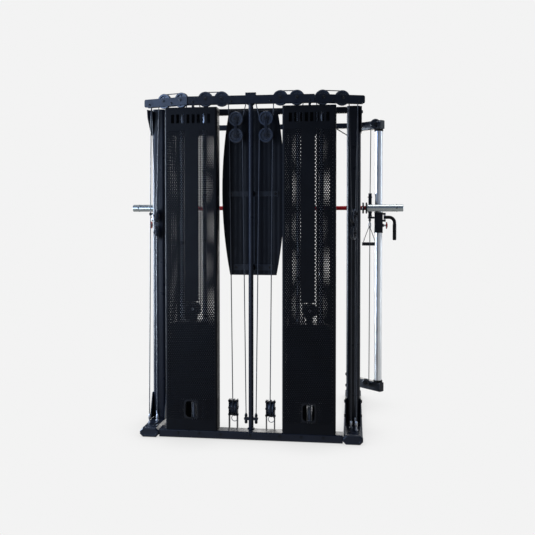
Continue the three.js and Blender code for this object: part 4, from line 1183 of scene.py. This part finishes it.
def swivels():
    """Two cheeks and a back plate on hollow pivots, with the cable between an upper and a lower wheel."""
    bottom, top, reach, radius, gap = SWIVEL.values()
    inner, outer = gap / 2, gap / 2 + 4
    height = top - bottom - 4
    window = rounded_rect(16, 48, 6, (CABLE_Y + reach - 6, (bottom + top) / 2 + 2))
    outline = rounded_rect(reach + 20, height, 14, (CABLE_Y - 2 + reach / 2, bottom + 4 + height / 2))
    cheeks, wheels, bolts = [], [], []
    for side in (-1, 1):
        cheeks += plate("x", outline, sorted((CABLE_X + side * inner, CABLE_X + side * outer)), [window])
    cheeks += collar("z", 6, 14, (bottom, bottom + 9), (CABLE_X, CABLE_Y))
    cheeks += collar("z", 6, 9, (top - 8, top - 2), (CABLE_X, CABLE_Y))
    cheeks += box((CABLE_X - inner, CABLE_X + inner), (CABLE_Y - 12, CABLE_Y - 9), (bottom + 9, top - 4))
    for z in (bottom + 32, top - 28):
        at = (CABLE_Y + reach - 4, z)
        wheels += cable_wheel("x", CABLE_X, radius, gap - 3, at, 9)
        bolts += axle_bolt("x", (CABLE_X - outer, CABLE_X + outer), at, 5)
    both("swivel_pulley", cheeks, "frame_paint", body="swivel", node="swivel_pulley", bevel=0.8)
    both("swivel_wheels", wheels, "pulley_plastic", body="swivel")
    both("swivel_bolts", bolts, "black_steel", body="swivel")


def web_loop():
    """Flat web folded over the hook and sewn round the grip's two ends."""
    x, y, z, half, hook = GRIP.values()
    width, thick, fold_z = 24, 4, hook - 6
    leg = []
    for i in range(9):
        leg.append((x - half + 8 + (half - 10) * (i / 8) ** 1.25, z + (fold_z - z) * i / 8))
    fold = []
    for i in range(1, 6):
        a = math.pi * i / 6
        fold.append((x + 1 - 3 * math.cos(a), fold_z + 5 * math.sin(a)))
    path = leg + fold + [(2 * (x + 1) - px, pz) for px, pz in reversed(leg)]
    left, right = [], []
    for i, (px, pz) in enumerate(path):
        before, after = Vector(path[max(i - 1, 0)]), Vector(path[min(i + 1, len(path) - 1)])
        along = (after - before).normalized() * thick / 2
        left.append((px - along[1], pz + along[0]))
        right.append((px + along[1], pz - along[0]))
    return plate("y", left + right[::-1], (y - width / 2, y + width / 2))


def hand_grips():
    """Ribbed grip with end flanges, sewn web loop, snap hook, and the stop and eye of the cable."""
    x, y, z, half, hook = GRIP.values()
    bottom = SWIVEL["bottom"]
    ribs = [(0, x - half + 3)]
    for k in range(10):
        low = x - half + 7 + k * 8.6
        ribs += [(11.3, low), (12.3, low + 1.6), (12.3, low + 6.2), (11.3, low + 7.8)]
    ribs.append((0, x + half - 3))
    both("hand_grip", lathe("x", ribs, (y, z), 28), "knurled_rubber", body="grip", node="hand_grip")
    ends = []
    for side in (-1, 1):
        flange = ((0, 0), (11, 0), (12.5, 2), (12.5, 5), (0, 5))
        ends += lathe("x", [(radius, x + side * (half - inset)) for radius, inset in flange], (y, z))
    both("grip_ends", ends, "black_rubber", body="grip")
    both("grip_web", web_loop(), "webbing", body="grip", bevel=0.5)
    stitches = []
    for side in (-1, 1):
        for row in (-8, 8):
            for k in range(5):
                stitch_x, low = x + 1 + side * (42 - 0.6 * k), z + 24 + 5 * k
                stitches += sweep([(stitch_x, y + row, low), (stitch_x, y + row, low + 3)], 0.6, 6)
    both("grip_stitches", stitches, "zinc", body="grip")
    snap = []
    for i in range(25):
        a = 2 * math.pi * i / 24
        rise = 20 * math.sin(a) * (1 - 0.12 * math.cos(2 * a))
        snap.append((CABLE_X + 8 * math.cos(a), y, hook + 8 + rise))
    both("snap_hook", sweep(snap, 2.6, 10), "zinc", body="grip")
    stop = ((0, 36), (5, 36), (9, 30), (9, 20), (6, 13), (3.6, 6), (0, 6))
    stop_solid = lathe("z", [(radius, bottom - below) for radius, below in stop], (CABLE_X, y))
    both("cable_stop", stop_solid, "black_rubber", body="grip")
    both("cable_eye", rod("z", 4, (bottom - 46, bottom - 34), (CABLE_X, y)), "zinc", body="grip")


# ---- Press bar ----
def press_bar():
    """Red shaft with a bearing block on each guide rod, and a stop collar outside each block."""
    y, z, radius, flange = BAR["y"], BAR["z"], BAR["radius"], BAR["flange"]
    single("press_bar", rod("x", radius, BAR_X, (y, z), 32, 2), "red_paint", "press_bar", "press_bar")
    x, rod_y = BAR_ROD["x"], BAR_ROD["y"]
    rear, front, half_width, half_height = BEARING.values()
    ends = (y - rear, rod_y + front)
    outline = rounded_rect(2 * half_width, ends[1] - ends[0], 8, (x, middle(ends)))
    bodies = plate("z", outline, (z - half_height, z + half_height), [circle(13.5, (x, rod_y))])
    rings, screws = [], []
    for out in (-1, 1):
        profile = ((13.2, -1), (21, -1), (21, 4), (19, 6), (13.2, 6))
        rings += lathe("z", [(r, z + out * (half_height + rise)) for r, rise in profile], (x, rod_y))
    for dz in (-30, 30):
        for dx in (-20, 20):
            screws += button_screw("y", y - rear, -1, (x + dx, z + dz), 5)
    start = BAR["sleeve"] - 24
    profile = ((radius, 0), (flange - 2, 0), (flange, 2), (flange, 10), (flange - 2, 12), (radius, 12))
    screws += lathe("x", [(r, start + along) for r, along in profile], (y, z), 40)
    for side in ("right", "left"):
        for name, solids, look, bevel in (
            ("bearing_block", bodies, "frame_paint", 1.5),
            ("bearing_rings", rings, "black_rubber", 0),
            ("bearing_screws", screws, "black_steel", 0),
        ):
            single(f"{side}_{name}", solids, look, "press_bar", mirrored=side == "left", bevel=bevel)


def bar_sleeves():
    """Steel sleeve with a rubber ring round its flange, a ring in its end and a pin through it."""
    start, end = SLEEVE_X
    y, z, radius, flange = BAR["y"], BAR["z"], BAR["sleeve_radius"], BAR["flange"]
    bore, rim = BAR["radius"] + 0.8, flange - 7
    profile = [(bore, start), (rim, start), (rim, start + 9)]
    profile += [(radius + 3, start + 9), (radius, start + 13), (radius, end - 3), (radius - 2, end - 1)]
    profile += [(radius - 5, end - 1), (radius - 5, end - 4), (bore, end - 4)]
    both("bar_sleeve", lathe("x", profile, (y, z), 56), "sleeve_steel", body="sleeve", node="bar_sleeve")
    ring = [(rim - 1, start - 1), (flange - 2, start - 1), (flange, start + 1), (flange, start + 8)]
    ring += [(flange - 2, start + 10), (rim - 1, start + 10)]
    both("sleeve_flange_ring", lathe("x", ring, (y, z), 48), "black_rubber", body="sleeve")
    end_ring = collar("x", bore, radius - 5.5, (end - 5, end - 1.5), (y, z), 40)
    both("sleeve_end_ring", end_ring, "zinc", body="sleeve")
    pin_x, reach = 911, radius + 1.2
    pin = rod("y", 5, (y - reach, y + reach), (pin_x, z), 20)
    pin += rod("z", 5, (z - reach, z + reach), (pin_x, y), 20)
    both("sleeve_pin", pin, "black_steel", body="sleeve")


def bar_rods():
    at, radius, (low, high) = (BAR_ROD["x"], BAR_ROD["y"]), BAR_ROD["radius"], ROD_Z
    both("bar_rod", rod("z", radius, ROD_Z, at, 32), "rod_steel", node="bar_rod")
    both("bar_rod_spring", spring(at, (low + 8, low + 110), 18, 3, 9), "zinc")
    bore = radius + 0.1
    buffer = ((bore, 110), (24, 110), (24, 126), (21, 130), (bore, 130))
    stops = collar("z", bore, 24, (low, low + 6), at)
    stops += lathe("z", [(r, low + rise) for r, rise in buffer], at)
    stops += collar("z", bore, 22, (high - 24, high - 2), at)
    both("bar_rod_stops", stops, "black_rubber")


# ---- Cables ----
def on_beam_wheel(centre, radius, start, end, steps=12):
    """The cable's path round a wheel in the plane of the top beam, with angles in degrees from +X."""
    return [(x, BEAM["y"], z) for x, z in arc(centre, radius, start, end, steps)]


def line(start, end, steps=12):
    return [tuple(Vector(start).lerp(Vector(end), i / steps)) for i in range(steps + 1)]


def stack_cables():
    y, strand, z = BEAM["y"], HEAD["strand"], HEAD["wheel_z"]
    left, right = TOWER_X - strand, TOWER_X + strand
    path = line((left, y, CABLE_TOP), (left, y, z + 2))
    path += on_beam_wheel((TOWER_X, z), strand, 180, 360, 16)
    path += line((right, y, z + 2), (right, y, CABLE_TOP))
    start, end = (TOWER_X, y, CABLE_TOP), (TOWER_X, y, z + 20)
    both_stretching("stack_cable", sweep(path, CABLE), ("root", "stack"), start, end, node="stack_cable")


def top_runs():
    """The cables over the top wheels. Returns the point where the outer one leaves its last wheel."""
    y, z, rope = BEAM["y"], TOP_WHEEL["z"], TOP_WHEEL["radius"] - 4
    first, second, third, fourth = [straightened(x) for x in TOP_WHEELS_X]
    inner = [(first - rope, y, INNER_FALL)]
    inner += on_beam_wheel((first, z), rope, 180, 90) + on_beam_wheel((second, z), rope, 90, 0)
    inner.append((TOWER_X - HEAD["strand"], y, CABLE_TOP))
    wheels = on_beam_wheel((third, z), rope, 180, 90) + on_beam_wheel((fourth, z), rope, 90, 0)
    wing = on_beam([(wheels, [])], BEAM["end"])[0][0]
    outer = [(TOWER_X + HEAD["strand"], y, CABLE_TOP)] + [tuple(p) for p in wing]
    both("inner_top_cable", sweep(inner, CABLE), "wire_rope")
    both("outer_top_cable", sweep(outer, CABLE), "wire_rope")
    return outer[-1]


def centre_cables():
    """One cable hangs the centre block from the top; one runs over it from the anchor to the low block."""
    x, y, rope = CENTRE_BLOCK["x"], BEAM["y"], CENTRE_BLOCK["radius"] - 4
    upper, lower = CENTRE_BLOCK["upper"], CENTRE_BLOCK["lower"]
    high = line((ANCHOR_X, y, BEAM["bottom"] - 1), (x - rope, y, upper + 3), 6)
    high += on_beam_wheel((x, upper), rope, 180, 360, 14)
    high += line((x + rope, y, upper + 3), (TOP_WHEELS_X[0] - TOP_WHEEL["radius"] + 4, y, INNER_FALL), 6)
    bodies = ("root", "centre_block")
    both_stretching("centre_upper_cable", sweep(high, CABLE), bodies, (x, y, INNER_FALL), (x, y, upper + 2))
    low_x, wheel_y, axle, low_rope = (LOW_BLOCK[key] for key in ("x", "wheel_y", "axle", "radius"))
    low_rope -= 4
    low_start = (low_x, wheel_y - low_rope, axle + 20)
    down = line((ANCHOR_X, y, 150), (x - rope, y, lower - 3), 24)
    down += on_beam_wheel((x, lower), rope, 180, 0, 14)
    down += line((x + rope, y, lower - 3), low_start, 24)
    both_stretching("centre_lower_cable", sweep(down, CABLE), bodies, (x, y, 200), (x, y, lower - 4))
    round_wheel = [(low_x, y, z) for y, z in arc((wheel_y, axle), low_rope, 180, 300, 12)]
    both("low_cable", sweep([low_start] + round_wheel, CABLE), "wire_rope")


def outer_cables(exit_point):
    """Round the outer block from the top beam and from the foot, and one fixed cable behind it."""
    x, y, rope = OUTER_BLOCK["x"], OUTER_BLOCK["y"], OUTER_BLOCK["radius"] - 4
    upper, lower = OUTER_BLOCK["upper"], OUTER_BLOCK["lower"]
    across = (math.cos(math.radians(OUTER_BLOCK_TURN)), math.sin(math.radians(OUTER_BLOCK_TURN)))

    def bend(height, start, end):
        points = arc((0, height), rope, start, end, 14)
        return [(x + out * across[0], y + out * across[1], z) for out, z in points]

    under, over = bend(upper, 180, 360), bend(lower, 180, 0)
    high = line(exit_point, under[0], 14) + under + line(under[-1], (640, -412, 2022), 14)
    bodies = ("root", "outer_block")
    both_stretching("outer_upper_cable", sweep(high, CABLE), bodies, (x, y, 2000), (x, y, upper + 4))
    feet_ends = [(p[0], p[1]) for p in (over[0], over[-1])]
    down = line((*feet_ends[0], 90), over[0], 14) + over + line(over[-1], (*feet_ends[1], 90), 14)
    both_stretching("outer_lower_cable", sweep(down, CABLE), bodies, (x, y, 120), (x, y, lower - 4))
    far_x, far_y, far_top = OUTER_CABLE.values()
    ends = []
    for at in feet_ends:
        ends += terminal(*at, 56, 104)
    ends += terminal(far_x, far_y, 60, 120)
    both("foot_terminals", ends, "zinc")
    both("outer_cable", sweep(line((far_x, far_y, 112), far_top, 20), CABLE), "wire_rope")
    ball = [(0, 1350), (6, 1351), (9, 1356), (9, 1364), (6, 1369), (0, 1370)]
    both("outer_cable_ball", lathe("z", ball, (638.5, -449)), "black_rubber")


def column_cables():
    """Round the wheels of both arms, and between them to the two ends of the swivel."""
    x, y = CABLE_X, CABLE_Y
    wheels = (
        ("column_top_cable", TOP_ARM_WHEEL, (180, 60)),
        ("column_base_cable", BASE_ARM_WHEEL, (0, -120)),
    )
    for name, wheel, (first, last) in wheels:
        points = arc((wheel["x"], wheel["z"]), wheel["radius"] - 4, first, last, 10)
        both(name, sweep([(px, y, pz) for px, pz in points], CABLE), "wire_rope")
    start = (TOP_ARM_WHEEL["x"] - TOP_ARM_WHEEL["radius"] + 4, y, TOP_ARM_WHEEL["z"])
    upper = sweep(line(start, (x, y, SWIVEL["top"] - 10), 12), CABLE)
    both_stretching("column_upper_cable", upper, ("root", "carriage"), start, (x, y, SWIVEL["top"]))
    low = (BASE_ARM_WHEEL["x"] + BASE_ARM_WHEEL["radius"] - 4, y, BASE_ARM_WHEEL["z"])
    lower = sweep(line(low, (x, y, SWIVEL["bottom"] - 8), 14), CABLE)
    both_stretching("column_lower_cable", lower, ("root", "carriage"), (x, y, 190), (x, y, CARRIAGE_Z[0]))


def hand_cables():
    """From the swivel's wheel to the stop; its rings face +Y."""
    rings, sides = 25, 10
    points, faces = [], []
    start, end = Vector((CABLE_X, GRIP["y"] - 4, 1357)), Vector((CABLE_X, GRIP["y"], 1331))
    for i in range(rings):
        centre = start.lerp(end, i / (rings - 1))
        points += [centre + Vector((a, 0, b)) for a, b in circle(CABLE, steps=sides)]
    for i in range(rings - 1):
        for k in range(sides):
            a, b = sides * i + k, sides * i + (k + 1) % sides
            faces.append([a, b, b + sides, a + sides])
    faces += [list(range(sides)), list(range(len(points) - sides, len(points)))]
    ends = (start, (end[0], end[1], start[2]))
    both_stretching("hand_cable", [(points, faces)], ("swivel", "grip"), *ends)


# ---- Stage: pale floor, soft light and camera ----
def pale_floor():
    """As pale as the backdrop for the camera, with a painted soft shadow near the object, and a dimmer glow
    for other rays that also lights the object.
    """
    bpy.ops.mesh.primitive_plane_add(size=60, location=(0, 0, -0.001))
    floor = bpy.context.object
    floor.name = "floor"
    material = bpy.data.materials.new("floor")
    material.use_nodes = True
    tree = material.node_tree
    tree.nodes.clear()
    # Painted shadow: ambient occlusion dims the floor's glow for the camera near the object.
    open_sky = add_node(tree, "ShaderNodeAmbientOcclusion", {"Distance": 0.35}).outputs["AO"]
    levels = {"From Min": 0.15, "From Max": 0.95, "To Min": BACKDROP * 0.72, "To Max": BACKDROP}
    painted_shadow_glow = add_node(tree, "ShaderNodeMapRange", {"Value": open_sky, **levels}).outputs[0]
    rays = tree.nodes.new("ShaderNodeLightPath").outputs
    dim = {"Factor": rays["Is Glossy Ray"], "A": BACKDROP * 0.3, "B": BACKDROP * 0.55}
    bounced = add_node(tree, "ShaderNodeMix", dim).outputs[0]
    seen = {"Factor": rays["Is Camera Ray"], "A": bounced, "B": painted_shadow_glow}
    strength = add_node(tree, "ShaderNodeMix", seen).outputs[0]
    glow = add_node(tree, "ShaderNodeEmission", {"Strength": strength}).outputs[0]
    add_node(tree, "ShaderNodeOutputMaterial", {"Surface": glow})
    floor.data.materials.append(material)


def backdrop():
    """White for the camera, dimmer and bluish for everything the object reflects."""
    world = bpy.data.worlds.new("studio")
    bpy.context.scene.world = world
    world.use_nodes = True
    tree = world.node_tree
    tree.nodes.clear()
    rays = tree.nodes.new("ShaderNodeLightPath").outputs
    seen = add_node(tree, "ShaderNodeBackground", {"Color": (BACKDROP, BACKDROP, BACKDROP, 1)}).outputs[0]
    room = add_node(tree, "ShaderNodeBackground", {"Color": ROOM_COLOUR}).outputs[0]
    blend = add_node(tree, "ShaderNodeMixShader", {"Fac": rays["Is Camera Ray"], 1: room, 2: seen})
    add_node(tree, "ShaderNodeOutputWorld", {"Surface": blend.outputs[0]})


def softbox(name, location, target, size, power, colour):
    data = bpy.data.lights.new(name, "AREA")
    data.shape, data.size, data.size_y = "RECTANGLE", *size
    data.energy, data.color = power, colour
    lamp = bpy.data.objects.new(name, data)
    lamp.location = location
    lamp.rotation_euler = (Vector(target) - Vector(location)).to_track_quat("-Z", "Y").to_euler()
    lamp.visible_camera = False
    bpy.context.scene.collection.objects.link(lamp)


def studio():
    centre = (0, -0.2, 1.0)
    softbox("left_softbox", (-4.0, -2.6, 1.9), centre, (2.2, 3.4), 150, (0.45, 0.62, 1.0))
    softbox("low_left_softbox", (-2.7, -5.0, 1.2), centre, (1.6, 3.0), 105, (0.62, 0.76, 1.0))
    softbox("left_side_softbox", (-4.4, 0.3, 1.2), centre, (1.4, 3.0), 640, (0.74, 0.85, 1.0))
    softbox("right_side_softbox", (4.8, 0.6, 1.4), centre, (1.2, 3.0), 34, (0.85, 0.92, 1.0))
    softbox("top_softbox", (0, 0.2, 4.6), centre, (3.2, 2.4), 90, (1.0, 0.99, 0.97))
    softbox("front_softbox", (0.5, 4.2, 2.0), centre, (3.0, 2.4), 90, (1.0, 0.97, 0.93))


def camera():
    data = bpy.data.cameras.new("camera")
    data.lens, data.sensor_width = 47.1, 36
    data.shift_y = -0.066
    data.clip_start, data.clip_end = 0.05, 200
    eye = bpy.data.objects.new("camera", data)
    eye.location = (0.616, -4.691, 1.35)
    pitch, yaw = math.radians(90 - 1.35), math.radians(7.0)
    eye.rotation_euler = (pitch, 0, yaw)
    bpy.context.scene.collection.objects.link(eye)
    bpy.context.scene.camera = eye


feet()
foot_caps()
base_beam()
rear_uprights()
front_frames()
cross_beams()
pulley_beam()
shrouds()
guide_rods()
weight_plates()
stack_heads()
selector_pins()
board()
centre_post()
blocks()
low_blocks()
columns()
carriages()
pop_pins()
handles()
swivels()
hand_grips()
press_bar()
bar_sleeves()
bar_rods()
stack_cables()
outer_exit = top_runs()
centre_cables()
outer_cables(outer_exit)
column_cables()
hand_cables()

pale_floor()
backdrop()
studio()
camera()
bpy.context.scene.view_settings.view_transform = "Standard"
